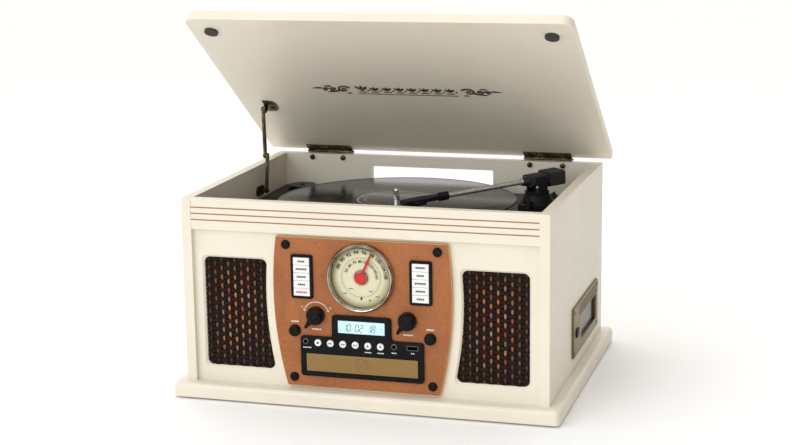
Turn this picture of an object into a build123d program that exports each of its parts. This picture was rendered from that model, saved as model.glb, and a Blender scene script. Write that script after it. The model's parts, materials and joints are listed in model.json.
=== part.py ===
"""Cabinet record player with a hinged lid, radio dial, disc drawer and cassette slot.

Millimetres, +Z up. X runs left to right as the player faces its user, and -Y is the front.
The origin is the centre of the footprint, on the surface that the feet stand on.
Every solid is drawn at rest: lid open on its stay, tonearm over the record, drawer shut.
"""

import os
from math import atan2, cos, degrees, hypot, radians, sin

from build123d import *

# Cabinet
BODY_W = 450.0
BODY_D = 346.0
BODY_TOP = 246.0
SIDE_T = 12.5
BOARD_T = 12.0
PLINTH_LIP = 14.0
PLINTH_TOP = 20.0
FOOT_H = 2.0
RAIL_H = 37.5
RAIL_SETBACK = 0.5
BAFFLE_SETBACK = 6.0
FRONT = -BODY_D / 2
BACK = BODY_D / 2
INNER_X = BODY_W / 2 - SIDE_T
RAIL_BOTTOM = BODY_TOP - RAIL_H
BAFFLE_FRONT = FRONT + BAFFLE_SETBACK
BAFFLE_BACK = BAFFLE_FRONT + BOARD_T
INNER_FRONT = FRONT + BOARD_T
INNER_BACK = BACK - BOARD_T
GAP = 0.2

# Lid and its hinges
LID_ANGLE = 35.0
LID_T = 13.0
LID_SIDE_LIP = 12.5
LID_FRONT_LIP = 10.0
LID_GAP = 3.0
LID_BOTTOM = BODY_TOP + LID_GAP
HINGE_Y = BACK + 2.5
HINGE_Z = BODY_TOP + 1.5
HINGE_X = 152.0
HINGE_LEN = 64.0
HINGE_R = 2.5
HINGE_PIN_R = 1.2
LEAF_T = 1.2
KNUCKLES = 5
BUMPER_X = 210.0
BUMPER_Y = -154.0
BUMPER_R = 8.5

# Folding lid stay, on the left wall
STAY_X = -INNER_X + 7.0
STAY_FOOT_Y = 60.4
STAY_FOOT_Z = 212.0
STAY_TOP_S = 130.0
STAY_TOP_DROP = 6.0
STAY_LOWER = 46.0
STAY_UPPER = 62.4
STAY_T = 2.6
STAY_W = 7.0

# Turntable
DECK_TOP = 202.0
DECK_T = 4.0
SPINDLE_X = -8.0
SPINDLE_Y = 5.0
SPINDLE_R = 3.5
SPINDLE_TOP = 234.0
PLATTER_R = 100.0
PLATTER_TOP = 214.8
MAT_TOP = 217.8
RECORD_R = 151.0
RECORD_TOP = 219.6
BELT_RING_R = 75.0
PULLEY_R = 4.0
PULLEY_REACH = 86.0
PULLEY_HEADING = -150.0
BELT_T = 0.8
BELT_Z = (206.0, 209.6)
RUN_GAP = 0.3
ADAPTER_X = -180.0
ADAPTER_Y = 134.0

# Tonearm
ARM_X = 155.0
ARM_Y = 88.0
ARM_Z = 236.0
ARM_HEADING = -132.9
ARM_LEN = 192.0
ARM_DROOP = 2.4
TUBE_R = 3.2
TUBE_START = 16.0
TUBE_END = 136.0
PARK_TURN = 45.9
REST_REACH = 122.0
REST_TOP = 227.3
CUE_X = 190.0
CUE_Y = 66.0
CUE_Z = DECK_TOP + 2.6

# Front fascia
FASCIA_FRONT = FRONT + 1.0
FASCIA_TOP = 205.5
FASCIA_BOTTOM = 23.0
FASCIA_HALF_TOP = 105.5
FASCIA_HALF_MID = 110.0
FASCIA_HALF_BOTTOM = 94.5
FASCIA_MID_Z = 150.0
STUD_R = 5.6
STUD_SPOTS = [(-92.8, 195.8), (92.8, 195.8), (-85.8, 34.0), (85.8, 34.0)]
SPEAKER_X = 160.0
SPEAKER_Z = 106.0
DIAL_Z = 160.5
DIAL_R = 41.5
DIAL_FACE_R = 36.5
NEEDLE_LEN = 31.0
NEEDLE_TURN = 24.5
KEY_BANK_X = 72.9
KEY_BANK_Z = 158.2
KEY_BANK_W = 27.2
KEY_BANK_H = 53.4
KEY_W = 20.0
KEY_PITCH = 9.34
KEY_NAMES_LEFT = ["delete", "repeat", "program", "shuffle", "record"]
KEY_NAMES_RIGHT = ["aux", "phono", "disc", "tape", "radio"]
PANEL_FRONT = FRONT - 3.0
PANEL_HALF = 76.0
PANEL_BOTTOM = 37.2
PANEL_TOP = 86.4
DISPLAY_HALF = 36.5
DISPLAY_TOP = 114.0
WINDOW_W = 58.0
WINDOW_H = 15.6
WINDOW_Z = 100.2
ROUND_KEY_Z = 79.2
ROUND_KEY_X0 = -53.8
ROUND_KEY_PITCH = 15.5
ROUND_KEY_R = 4.2
ROUND_KEY_NAMES = ["stop", "previous", "next", "play", "folder_up", "folder_down"]
PHONES_X = -69.2
AUX_X = 40.2
USB_X = 62.8
SOCKET_Z = 80.0
DRAWER_W = 138.0
DRAWER_H = 21.8
DRAWER_Z = 54.2
DRAWER_DEPTH = 152.0
KNOB_X = 56.5
KNOB_Z = 111.8
KNOB_R = 11.0
KNOB_TURN = 217.0
PUSH_X = 83.5
PUSH_Z = 91.6
PUSH_R = 6.8

# Cassette slot in the right wall
TAPE_Y = 44.0
TAPE_Z = 69.5
TAPE_BEZEL_L = 168.0
TAPE_BEZEL_H = 63.0
TAPE_SLOT_Y = 61.0
TAPE_SLOT_Z = 67.5
TAPE_SLOT_L = 104.0
TAPE_SLOT_H = 32.0
TAPE_DEPTH = 70.0
TAPE_KEY_Y = -20.0
FLAP_PIN_X = BODY_W / 2 - 1.5
FLAP_PIN_Z = TAPE_SLOT_Z + TAPE_SLOT_H / 2 - 1.8


def block(x_range, y_range, z_range):
    """A box from three (low, high) ranges."""
    size = [high - low for low, high in (x_range, y_range, z_range)]
    middle = [(high + low) / 2 for low, high in (x_range, y_range, z_range)]
    return Pos(*middle) * Box(*size)


def rod_z(radius, x, y, z_range):
    low, high = z_range
    return Pos(x, y, (low + high) / 2) * Cylinder(radius, high - low)


def rod_y(radius, x, z, y_range):
    low, high = y_range
    return Pos(x, (low + high) / 2, z) * Rot(90, 0, 0) * Cylinder(radius, high - low)


def rod_x(radius, y, z, x_range):
    low, high = x_range
    return Pos((low + high) / 2, y, z) * Rot(0, 90, 0) * Cylinder(radius, high - low)


def slab(face, y_range):
    """An outline drawn in X and Z, made solid between two depths."""
    low, high = y_range
    plane = Plane(origin=(0, high, 0), x_dir=(1, 0, 0), z_dir=(0, -1, 0))
    return extrude(plane * face, high - low)


def side_slab(face, x_range):
    """An outline drawn in Y and Z, made solid between two X values."""
    low, high = x_range
    plane = Plane(origin=(low, 0, 0), x_dir=(0, 1, 0), z_dir=(1, 0, 0))
    return extrude(plane * face, high - low)


def rounded(width, height, radius, x=0.0, z=0.0):
    return Pos(x, z) * RectangleRounded(width, height, radius)


def tube_z(outer, inner, x, y, z_range):
    return rod_z(outer, x, y, z_range) - rod_z(inner, x, y, z_range)


def group(solids):
    return Compound(children=[solid for shape in solids for solid in shape.solids()])


def lid_pose(shape):
    """Turns a shape drawn with the lid shut to where it is with the lid open."""
    hinge = Pos(0, HINGE_Y, HINGE_Z)
    return hinge * Rot(-LID_ANGLE, 0, 0) * Pos(0, -HINGE_Y, -HINGE_Z) * shape


def arm_pose(shape, turn=0.0):
    """Places a shape drawn along +X from the pivot, at pivot height zero."""
    return Pos(ARM_X, ARM_Y, ARM_Z) * Rot(0, 0, ARM_HEADING + turn) * shape


# ---------------------------------------------------------------- cabinet shell


def plinth():
    half_x = BODY_W / 2 + PLINTH_LIP
    half_y = BODY_D / 2 + PLINTH_LIP
    board = block((-half_x, half_x), (-half_y, half_y), (FOOT_H, PLINTH_TOP))
    board = fillet(board.edges().filter_by(Axis.Z), 6.0)
    board = fillet(board.faces().sort_by(Axis.Z)[-1].edges(), 5.5)
    return fillet(board.faces().sort_by(Axis.Z)[0].edges(), 1.5)


def rubber_feet():
    spots = [(x, y) for x in (-205, 205) for y in (-152, 152)]
    return group([rod_z(11, x, y, (0, FOOT_H)) for x, y in spots])


def side_panel(side):
    inner, outer = side * INNER_X, side * BODY_W / 2
    panel = block(sorted((inner, outer)), (FRONT, BACK), (PLINTH_TOP, BODY_TOP))
    outer_face = panel.faces().sort_by(Axis.X)[-1 if side > 0 else 0]
    edges = outer_face.edges().filter_by(Axis.Z) + outer_face.edges().sort_by(Axis.Z)[-1:]
    panel = fillet(edges, 1.2)
    if side > 0:
        hole = rounded(TAPE_BEZEL_L - 18, TAPE_BEZEL_H - 17, 3, TAPE_Y, TAPE_Z)
        panel -= side_slab(hole, (inner - 1, outer + 1))
    return panel


def back_panel():
    board = block((-INNER_X, INNER_X), (INNER_BACK, BACK), (PLINTH_TOP, BODY_TOP))
    window = slab(rounded(170, 25.5, 2.0, -5.0, 218.8), (INNER_BACK - 1, BACK + 1))
    socket_hole = slab(rounded(128, 40, 2.0, 60.0, 62.0), (INNER_BACK - 1, BACK + 1))
    return board - window - socket_hole


def top_rail():
    front = FRONT + RAIL_SETBACK
    rail = block((-INNER_X, INNER_X), (front, INNER_FRONT), (RAIL_BOTTOM, BODY_TOP))
    rail = fillet(rail.edges().filter_by(Axis.X).sort_by(Axis.Y)[:2], 0.8)
    for row in range(3):
        z = 235.6 - 7.5 * row
        rail -= block((-INNER_X, INNER_X), (front - 1, front + 0.9), (z - 0.8, z + 0.8))
    return rail


def speaker_outline(side, margin=0.0):
    """The opening over one loudspeaker: its inner side follows the fascia's curve."""
    high, low = 174.4 + margin, 39.4 - margin
    outer = 200.0 + margin
    top, middle, bottom = 119.6 - margin, 121.6 - margin, 111.4 - margin
    sides = [
        Line((side * outer, low), (side * outer, high)),
        Line((side * outer, high), (side * top, high)),
        ThreePointArc((side * top, high), (side * middle, 128), (side * bottom, low)),
        Line((side * bottom, low), (side * outer, low)),
    ]
    face = make_face(Curve() + sides)
    return fillet(face.vertices(), 7.0)


def front_baffle():
    board = block((-INNER_X, INNER_X), (BAFFLE_FRONT, BAFFLE_BACK), (PLINTH_TOP, RAIL_BOTTOM))
    for side in (-1, 1):
        board -= slab(speaker_outline(side), (BAFFLE_FRONT - 1, BAFFLE_BACK + 1))
        front_plane = Plane(origin=(0, BAFFLE_FRONT, 0), x_dir=(1, 0, 0), z_dir=(0, 1, 0))
        outline = mirror(speaker_outline(side, 2.2), about=Plane.XZ)
        board -= extrude(front_plane * outline, 2.2, taper=45)
    hole = rounded(184, 166, 4, 0, 116)
    return board - slab(hole, (BAFFLE_FRONT - 1, BAFFLE_BACK + 1))


def speaker_grilles():
    """Two boards wrapped in cloth, pressed into the openings from behind."""
    cloths = []
    for side in (-1, 1):
        cloths.append(slab(speaker_outline(side, -0.3), (BAFFLE_FRONT + 3.2, BAFFLE_BACK)))
    return group(cloths)


def speaker_drivers():
    """Two cone drivers, each a basket, a paper cone and a magnet."""
    parts = []
    y0 = BAFFLE_BACK
    for side in (-1, 1):
        x = side * SPEAKER_X
        flange = rod_y(42, x, SPEAKER_Z, (y0, y0 + 3))
        flange -= rod_y(33, x, SPEAKER_Z, (y0 - 1, y0 + 4))
        wall = Pos(x, y0 + 11.5, SPEAKER_Z) * Rot(-90, 0, 0) * Cone(36, 22, 17)
        hollow = Pos(x, y0 + 11.5, SPEAKER_Z) * Rot(-90, 0, 0) * Cone(33.5, 19.5, 17.1)
        back_ring = rod_y(22, x, SPEAKER_Z, (y0 + 20, y0 + 23))
        back_ring -= rod_y(9, x, SPEAKER_Z, (y0, y0 + 30))
        parts.append(flange + (wall - hollow) + back_ring)
        cone = Pos(x, y0 + 10, SPEAKER_Z) * Rot(-90, 0, 0) * Cone(31, 11, 14)
        cone_hollow = Pos(x, y0 + 9.2, SPEAKER_Z) * Rot(-90, 0, 0) * Cone(31, 11, 14)
        parts.append(cone - cone_hollow)
        parts.append(rod_y(26, x, SPEAKER_Z, (y0 + 23, y0 + 38)))
    return group(parts)


# ---------------------------------------------------------------- front fascia


def fascia_panel():
    right_top = (FASCIA_HALF_TOP, FASCIA_TOP)
    right_bottom = (FASCIA_HALF_BOTTOM, FASCIA_BOTTOM)
    left_top = (-FASCIA_HALF_TOP, FASCIA_TOP)
    left_bottom = (-FASCIA_HALF_BOTTOM, FASCIA_BOTTOM)
    sides = [
        Line(left_top, right_top),
        ThreePointArc(right_top, (FASCIA_HALF_MID, FASCIA_MID_Z), right_bottom),
        Line(right_bottom, left_bottom),
        ThreePointArc(left_bottom, (-FASCIA_HALF_MID, FASCIA_MID_Z), left_top),
    ]
    face = fillet(make_face(Curve() + sides).vertices(), 1.5)
    panel = slab(face, (FASCIA_FRONT, BAFFLE_FRONT))
    front_edges = panel.faces().sort_by(Axis.Y)[0].edges()
    panel = chamfer(front_edges, 0.7)
    cut = (FASCIA_FRONT - 1, BAFFLE_FRONT + 1)
    panel -= rod_y(38.5, 0, DIAL_Z, cut)
    for side in (-1, 1):
        hole = rounded(KEY_BANK_W - 3, KEY_BANK_H - 3, 2, side * KEY_BANK_X, KEY_BANK_Z)
        panel -= slab(hole, cut)
        panel -= rod_y(4, side * KNOB_X, KNOB_Z, cut)
        panel -= rod_y(PUSH_R + 0.4, side * PUSH_X, PUSH_Z, cut)
    panel -= slab(panel_outline(-3.0), cut)
    return panel


def panel_outline(margin=0.0):
    """The black control panel: a wide lower part and a display hood above it."""
    wide = 2 * (PANEL_HALF + margin)
    low = Pos(0, (PANEL_TOP + PANEL_BOTTOM) / 2) * Rectangle(
        wide, PANEL_TOP - PANEL_BOTTOM + 2 * margin
    )
    hood_low = PANEL_TOP - 12
    hood_high = DISPLAY_TOP + margin
    hood = Pos(0, (hood_low + hood_high) / 2) * Rectangle(
        2 * (DISPLAY_HALF + margin), hood_high - hood_low
    )
    outline = low + hood
    return fillet(outline.vertices(), 3.0 if margin < 0 else 4.0)


def media_panel():
    """Moulded control panel with its front sockets and the display module behind it."""
    panel = slab(panel_outline(), (PANEL_FRONT, FASCIA_FRONT))
    panel = fillet(panel.faces().sort_by(Axis.Y)[0].edges(), 1.0)
    panel += slab(panel_outline(-3.4), (FASCIA_FRONT, BAFFLE_FRONT))
    cut = (PANEL_FRONT - 1, BAFFLE_FRONT + 1)
    panel -= slab(rounded(WINDOW_W, WINDOW_H, 0.8, 0, WINDOW_Z), cut)
    panel -= slab(rounded(DRAWER_W + 0.6, DRAWER_H + 0.6, 0.8, 0, DRAWER_Z), cut)
    for index in range(len(ROUND_KEY_NAMES)):
        x = ROUND_KEY_X0 + index * ROUND_KEY_PITCH
        panel -= rod_y(ROUND_KEY_R + 0.35, x, ROUND_KEY_Z, cut)
    for x in (PHONES_X, AUX_X):
        panel -= rod_y(2.9, x, SOCKET_Z, cut)
    panel -= slab(rounded(13.4, 5.6, 0.3, USB_X, SOCKET_Z), cut)
    return panel


def front_sockets():
    """Headphone and line-in jacks, and a flat data socket with its tongue."""
    depth = (PANEL_FRONT + 0.3, BAFFLE_FRONT + 8)
    parts = []
    bore = (depth[0] - 1, depth[1] - 1)
    for x in (PHONES_X, AUX_X):
        parts.append(rod_y(2.8, x, SOCKET_Z, depth) - rod_y(1.8, x, SOCKET_Z, bore))
    shell = slab(rounded(13.2, 5.4, 0.2, USB_X, SOCKET_Z), depth)
    shell -= slab(rounded(12.2, 4.5, 0.2, USB_X, SOCKET_Z), bore)
    tongue = slab(rounded(10.6, 1.8, 0.2, USB_X, SOCKET_Z + 1.1), (depth[0] + 1, depth[1] - 0.9))
    parts.append(shell + tongue)
    return group(parts)


def display_module():
    """Display glass, and the backlit cell with its board behind it."""
    glass = rounded(WINDOW_W - 0.2, WINDOW_H - 0.2, 0.6, 0, WINDOW_Z)
    cell = rounded(WINDOW_W - 1, WINDOW_H - 1, 0.4, 0, WINDOW_Z)
    return group(
        [
            slab(glass, (PANEL_FRONT + 1.0, PANEL_FRONT + 2.0)),
            slab(cell, (PANEL_FRONT + 2.6, BAFFLE_FRONT + 2)),
        ]
    )


def key_bezels():
    """The two black frames round the banks of five keys."""
    frames = []
    for side in (-1, 1):
        x = side * KEY_BANK_X
        frame = slab(rounded(KEY_BANK_W, KEY_BANK_H, 3.0, x, KEY_BANK_Z), (FRONT - 1.6, FASCIA_FRONT))
        frame = fillet(frame.faces().sort_by(Axis.Y)[0].edges(), 0.7)
        neck = rounded(KEY_BANK_W - 3.2, KEY_BANK_H - 3.2, 2.0, x, KEY_BANK_Z)
        frame += slab(neck, (FASCIA_FRONT, BAFFLE_FRONT))
        hole = rounded(KEY_W + 0.7, 5 * KEY_PITCH + 0.3, 0.4, x, KEY_BANK_Z)
        frames.append(frame - slab(hole, (FRONT - 4, BAFFLE_FRONT + 1)))
    return group(frames)


def bank_key(side, row):
    """One rectangular key; row 0 is the top one."""
    x = side * KEY_BANK_X
    z = KEY_BANK_Z + (2 - row) * KEY_PITCH
    key = slab(rounded(KEY_W, KEY_PITCH - 0.35, 0.5, x, z), (FRONT - 2.4, BAFFLE_FRONT - 1.0))
    return fillet(key.faces().sort_by(Axis.Y)[0].edges(), 0.45)


def round_key(index):
    x = ROUND_KEY_X0 + index * ROUND_KEY_PITCH
    key = rod_y(ROUND_KEY_R, x, ROUND_KEY_Z, (PANEL_FRONT - 1.2, BAFFLE_FRONT))
    return fillet(key.faces().sort_by(Axis.Y)[0].edges(), 0.6)


def push_button(side):
    """A large round push button with a domed face."""
    x = side * PUSH_X
    body = rod_y(PUSH_R, x, PUSH_Z, (FRONT - 5.0, BAFFLE_FRONT))
    return fillet(body.faces().sort_by(Axis.Y)[0].edges(), 2.2)


def fascia_studs():
    studs = []
    for x, z in STUD_SPOTS:
        stud = rod_y(STUD_R, x, z, (FASCIA_FRONT - 3.0, FASCIA_FRONT))
        studs.append(fillet(stud.faces().sort_by(Axis.Y)[0].edges(), 2.4))
    return group(studs)


def knob(side):
    """Pointer knob: a round skirt, with a tapered grip bar that ends in a pointer."""
    front, back = FRONT - 13.5, FASCIA_FRONT - 0.8
    skirt = rod_y(KNOB_R, 0, 0, (front + 7.0, back))
    skirt = fillet(skirt.faces().sort_by(Axis.Y)[0].edges(), 2.0)
    crown = rod_y(KNOB_R - 2.5, 0, 0, (front + 2.5, front + 7.5))
    crown = fillet(crown.faces().sort_by(Axis.Y)[0].edges(), 2.0)
    bar_points = [(-3.6, -9.5), (3.6, -9.5), (4.4, 0), (1.6, 16.5), (-1.6, 16.5), (-4.4, 0)]
    bar = slab(fillet(make_face(Polyline(*bar_points, close=True)).vertices(), 0.9), (front, back))
    bar = fillet(bar.faces().sort_by(Axis.Y)[0].edges(), 0.8)
    shaft = rod_y(3.0, 0, 0, (back - 1, BAFFLE_FRONT + 14))
    turned = Rot(0, KNOB_TURN, 0) * (skirt + crown + bar + shaft)
    return Pos(side * KNOB_X, 0, KNOB_Z) * turned


def tuning_dial():
    """Dial housing: a plated ring, the printed scale plate and a clear lens."""
    profile = Plane.XY * make_face(
        Curve()
        + [
            Line((DIAL_FACE_R, FASCIA_FRONT), (DIAL_R, FASCIA_FRONT)),
            Line((DIAL_R, FASCIA_FRONT), (DIAL_R, FRONT - 3.5)),
            ThreePointArc((DIAL_R, FRONT - 3.5), (39.4, FRONT - 7.5), (DIAL_FACE_R, FRONT - 6.2)),
            Line((DIAL_FACE_R, FRONT - 6.2), (DIAL_FACE_R, FASCIA_FRONT)),
        ]
    )
    ring = Pos(0, 0, DIAL_Z) * revolve(profile, Axis.Y, 360)
    face = rod_y(38.2, 0, DIAL_Z, (FASCIA_FRONT + 0.05, FASCIA_FRONT + 3))
    face -= rod_y(2.2, 0, DIAL_Z, (FRONT - 9, BAFFLE_FRONT))
    lens = rod_y(DIAL_FACE_R - 0.1, 0, DIAL_Z, (FRONT - 5.4, FRONT - 4.4))
    return group([ring, face, lens])


def dial_pointer():
    """Red pointer: a round hub and a needle, on a thin shaft."""
    hub = rod_y(7.2, 0, 0, (FRONT - 3.4, FRONT - 1.4))
    hub = fillet(hub.faces().sort_by(Axis.Y)[0].edges(), 0.7)
    corners = [(-1.7, 4), (1.7, 4), (1.0, NEEDLE_LEN), (-1.0, NEEDLE_LEN)]
    needle = slab(make_face(Polyline(*corners, close=True)), (FRONT - 2.4, FRONT - 1.6))
    shaft = rod_y(1.6, 0, 0, (FRONT - 2, BAFFLE_FRONT + 8))
    return Pos(0, 0, DIAL_Z) * Rot(0, NEEDLE_TURN, 0) * (hub + needle + shaft)


# ---------------------------------------------------------------- disc drawer


def drawer_chassis():
    """Steel and plastic frame that the drawer slides in, open at its front."""
    half = 74.0
    low, high = DRAWER_Z - 16.0, DRAWER_Z + 13.5
    y0, y1 = BAFFLE_FRONT + 1.0, BAFFLE_FRONT + 168
    shell = block((-half, half), (y0, y1), (low, high))
    shell -= block((-half + 2, half - 2), (y0 - 1, y1 - 3), (low + 2, high - 2))
    for side in (-1, 1):
        ledge = sorted((side * 61, side * (half - 1.5)))
        shell += block(ledge, (y0 + 3, y1 - 3), (DRAWER_Z - 9.3, DRAWER_Z - 7.3))
    return shell


def disc_drawer():
    """Drawer with its disc recess and front plate."""
    front_y = PANEL_FRONT + 0.4
    plate = slab(rounded(DRAWER_W, DRAWER_H, 0.8, 0, DRAWER_Z), (front_y, front_y + 5))
    plate = fillet(plate.faces().sort_by(Axis.Y)[0].edges(), 0.5)
    half = 67.0
    top = DRAWER_Z + 2.0
    tray = block((-half, half), (front_y + 4, front_y + DRAWER_DEPTH), (top - 9, top))
    middle_y = front_y + 76
    tray -= rod_z(61, 0, middle_y, (top - 2.2, top + 1))
    tray -= rod_z(41, 0, middle_y, (top - 3.0, top + 1))
    tray -= block((-20, 20), (middle_y, front_y + DRAWER_DEPTH + 1), (top - 10, top + 1))
    return plate + tray


# ---------------------------------------------------------------- cassette slot


def cassette_bezel():
    """Plated side plate with cooling ribs over the slot."""
    x0 = BODY_W / 2
    plate = side_slab(rounded(TAPE_BEZEL_L, TAPE_BEZEL_H, 4, TAPE_Y, TAPE_Z), (x0, x0 + 3))
    plate = chamfer(plate.faces().sort_by(Axis.X)[-1].edges(), 1.0)
    for row in range(4):
        z = TAPE_Z + TAPE_BEZEL_H / 2 - 4.5 - 3.4 * row
        groove = rounded(TAPE_SLOT_L + 20, 1.4, 0.5, TAPE_SLOT_Y - 4, z)
        plate -= side_slab(groove, (x0 + 1.8, x0 + 4))
    plate -= side_slab(rounded(TAPE_SLOT_L, TAPE_SLOT_H, 1.5, TAPE_SLOT_Y, TAPE_SLOT_Z), (x0 - 1, x0 + 4))
    plate -= side_slab(rounded(15, 11, 1.5, TAPE_KEY_Y, TAPE_SLOT_Z), (x0 - 1, x0 + 4))
    return plate


def cassette_mechanism():
    """Box that takes the cassette edge first, with the two reel spindles and capstan motor."""
    x1 = BODY_W / 2
    x0 = x1 - TAPE_DEPTH
    half_l, half_h = TAPE_SLOT_L / 2, TAPE_SLOT_H / 2
    y_range = (TAPE_SLOT_Y - half_l - 3, TAPE_SLOT_Y + half_l + 3)
    z_range = (TAPE_SLOT_Z - half_h - 3, TAPE_SLOT_Z + half_h + 3)
    shell = block((x0, x1), y_range, z_range)
    shell -= block((x0 + 3, x1 + 1), (y_range[0] + 3, y_range[1] - 3), (z_range[0] + 3, z_range[1] - 3))
    shell -= rod_y(1.26, FLAP_PIN_X, FLAP_PIN_Z, (y_range[0] + 1, y_range[1] - 1))
    motor = rod_z(15, x0 + 25, TAPE_SLOT_Y + 20, (z_range[1], z_range[1] + 22))
    flywheel = rod_z(24, x0 + 30, TAPE_SLOT_Y - 24, (z_range[0] - 6, z_range[0]))
    return group([shell, motor, flywheel])


def cassette_flap():
    """Dust flap hung from the top of the slot on two short pins."""
    half_l, half_h = TAPE_SLOT_L / 2 - 0.6, TAPE_SLOT_H / 2 - 0.6
    y_range = (TAPE_SLOT_Y - half_l, TAPE_SLOT_Y + half_l)
    leaf = block((FLAP_PIN_X - 0.6, FLAP_PIN_X + 1.2), y_range, (TAPE_SLOT_Z - half_h, FLAP_PIN_Z))
    pin_range = (y_range[0] - 1.6, y_range[1] + 1.6)
    return leaf + rod_y(1.2, FLAP_PIN_X, FLAP_PIN_Z, pin_range)


def cassette_key():
    x0 = BODY_W / 2
    key = side_slab(rounded(14.4, 10.4, 1.2, TAPE_KEY_Y, TAPE_SLOT_Z), (x0 - 8, x0 + 5))
    return fillet(key.faces().sort_by(Axis.X)[-1].edges(), 0.8)


# ---------------------------------------------------------------- electronics


def circuit_boards():
    """Front control board, amplifier board with heat sink, and mains transformer."""
    board_top = PLINTH_TOP + 1.6
    control = block((-96, 96), (BAFFLE_BACK, BAFFLE_BACK + 1.6), (118, 184))
    control -= rod_y(4, 0, DIAL_Z, (FRONT, 0))
    amplifier = block((-60, 60), (70, 150), (PLINTH_TOP, board_top))
    sink = block((-55, 20), (78, 84), (board_top, 62))
    for index in range(6):
        x = -53 + 14 * index
        sink += block((x, x + 2), (84, 98), (board_top, 62))
    core = block((-160, -104), (70, 118), (PLINTH_TOP, 64))
    coil = block((-150, -114), (60, 128), (PLINTH_TOP + 6, 58))
    capacitors = [rod_z(6, x, 130, (board_top, 48)) for x in (30, 46)]
    return group([control, amplifier, sink, core + coil, *capacitors])


def rear_terminals():
    """Back plate with a two-pin mains inlet and two line-out sockets."""
    plate = slab(rounded(140, 52, 3, 60, 62), (BACK, BACK + 2))
    plate += slab(rounded(127, 39, 2, 60, 62), (BACK - 8, BACK))
    inlet_cut = rounded(19, 11, 4, 96, 62)
    plate -= slab(inlet_cut, (BACK - 7, BACK + 3))
    for x in (92, 100):
        plate += rod_y(1.3, x, 62, (BACK - 8, BACK + 0.5))
    for x in (20, 40):
        plate += rod_y(4.2, x, 62, (BACK, BACK + 9))
        plate -= rod_y(1.7, x, 62, (BACK, BACK + 10))
    return plate


# ---------------------------------------------------------------- turntable


def deck_plate():
    """Moulded deck with its bearing, the selector's slot and the adapter well."""
    x, y = INNER_X - GAP, INNER_BACK - GAP
    front = BAFFLE_BACK + GAP
    deck = block((-x, x), (front, y), (DECK_TOP - 16, DECK_TOP))
    deck -= block((-x + 3, x - 3), (front + 3, y - 3), (DECK_TOP - 17, DECK_TOP - DECK_T))
    boss = rod_z(9, SPINDLE_X, SPINDLE_Y, (DECK_TOP - 26, DECK_TOP + 1.5))
    deck += boss
    deck -= rod_z(SPINDLE_R + 0.05, SPINDLE_X, SPINDLE_Y, (DECK_TOP - 24, DECK_TOP + 3))
    pulley_x, pulley_y = pulley_spot()
    deck -= rod_z(7, pulley_x, pulley_y, (DECK_TOP - 6, DECK_TOP + 3))
    deck -= block((166, 174), (-112, -78), (DECK_TOP - 6, DECK_TOP + 1))
    deck += tube_z(20.5, 19.0, ADAPTER_X, ADAPTER_Y, (DECK_TOP, DECK_TOP + 2))
    return deck


def arm_rest_post():
    """Post that the parked tonearm lies on, with a stop on its outer side."""
    x, y = rest_spot()
    post = block((x - 4, x + 8.4), (y - 2.5, y + 2.5), (DECK_TOP, 234))
    return post - block((x - 5, x + 6.4), (y - 3, y + 3), (REST_TOP, 235))


def cue_lever_lugs():
    lugs = []
    for side in (-1, 1):
        lug_y = sorted((CUE_Y + side * 5, CUE_Y + side * 7))
        lug = block((CUE_X - 3, CUE_X + 3), lug_y, (DECK_TOP, CUE_Z + 3))
        lugs.append(lug - rod_y(1.26, CUE_X, CUE_Z, (CUE_Y - 8, CUE_Y + 8)))
    return group(lugs)


def pulley_spot():
    angle = radians(PULLEY_HEADING)
    return SPINDLE_X + PULLEY_REACH * cos(angle), SPINDLE_Y + PULLEY_REACH * sin(angle)


def rest_spot():
    angle = radians(ARM_HEADING + PARK_TURN)
    return ARM_X + REST_REACH * cos(angle), ARM_Y + REST_REACH * sin(angle)


def single_adapter():
    """Large-hole record adapter kept in its well on the deck."""
    return tube_z(18.5, 3.7, ADAPTER_X, ADAPTER_Y, (DECK_TOP + 0.05, DECK_TOP + 5.5))


def drive_motor():
    x, y = pulley_spot()
    can = rod_z(17, x, y, (DECK_TOP - 28, DECK_TOP - 6.5))
    ear = block((x - 24, x + 24), (y - 6, y + 6), (DECK_TOP - 6.5, DECK_TOP - 4.2))
    ear -= rod_z(5, x, y, (DECK_TOP - 8, DECK_TOP))
    return group([can, ear])


def motor_pulley():
    x, y = pulley_spot()
    wheel = rod_z(PULLEY_R, x, y, (BELT_Z[0] - 0.5, BELT_Z[1] + 0.5))
    flange = rod_z(PULLEY_R + 1.4, x, y, (BELT_Z[0] - 1.5, BELT_Z[0] - 0.5))
    shaft = rod_z(1.0, x, y, (DECK_TOP - 6.2, BELT_Z[1] + 0.8))
    return wheel + flange + shaft


def belt_loop(offset, z_range):
    """The solid inside a belt run round the platter ring and the pulley."""
    big, small = BELT_RING_R + offset, PULLEY_R + offset
    lean = degrees(atan2(((PULLEY_REACH**2 - (big - small) ** 2) ** 0.5), big - small))
    a, b = radians(lean), radians(-lean)
    big_a, big_b = (big * cos(a), big * sin(a)), (big * cos(b), big * sin(b))
    far_a = (PULLEY_REACH + small * cos(a), small * sin(a))
    far_b = (PULLEY_REACH + small * cos(b), small * sin(b))
    sides = [
        ThreePointArc(big_a, (-big, 0), big_b),
        Line(big_b, far_b),
        ThreePointArc(far_b, (PULLEY_REACH + small, 0), far_a),
        Line(far_a, big_a),
    ]
    solid = extrude(make_face(Curve() + sides), z_range[1] - z_range[0])
    return Pos(SPINDLE_X, SPINDLE_Y, z_range[0]) * Rot(0, 0, PULLEY_HEADING) * solid


def drive_belt():
    low, high = BELT_Z
    return belt_loop(RUN_GAP + BELT_T, BELT_Z) - belt_loop(RUN_GAP, (low - 1, high + 1))


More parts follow.
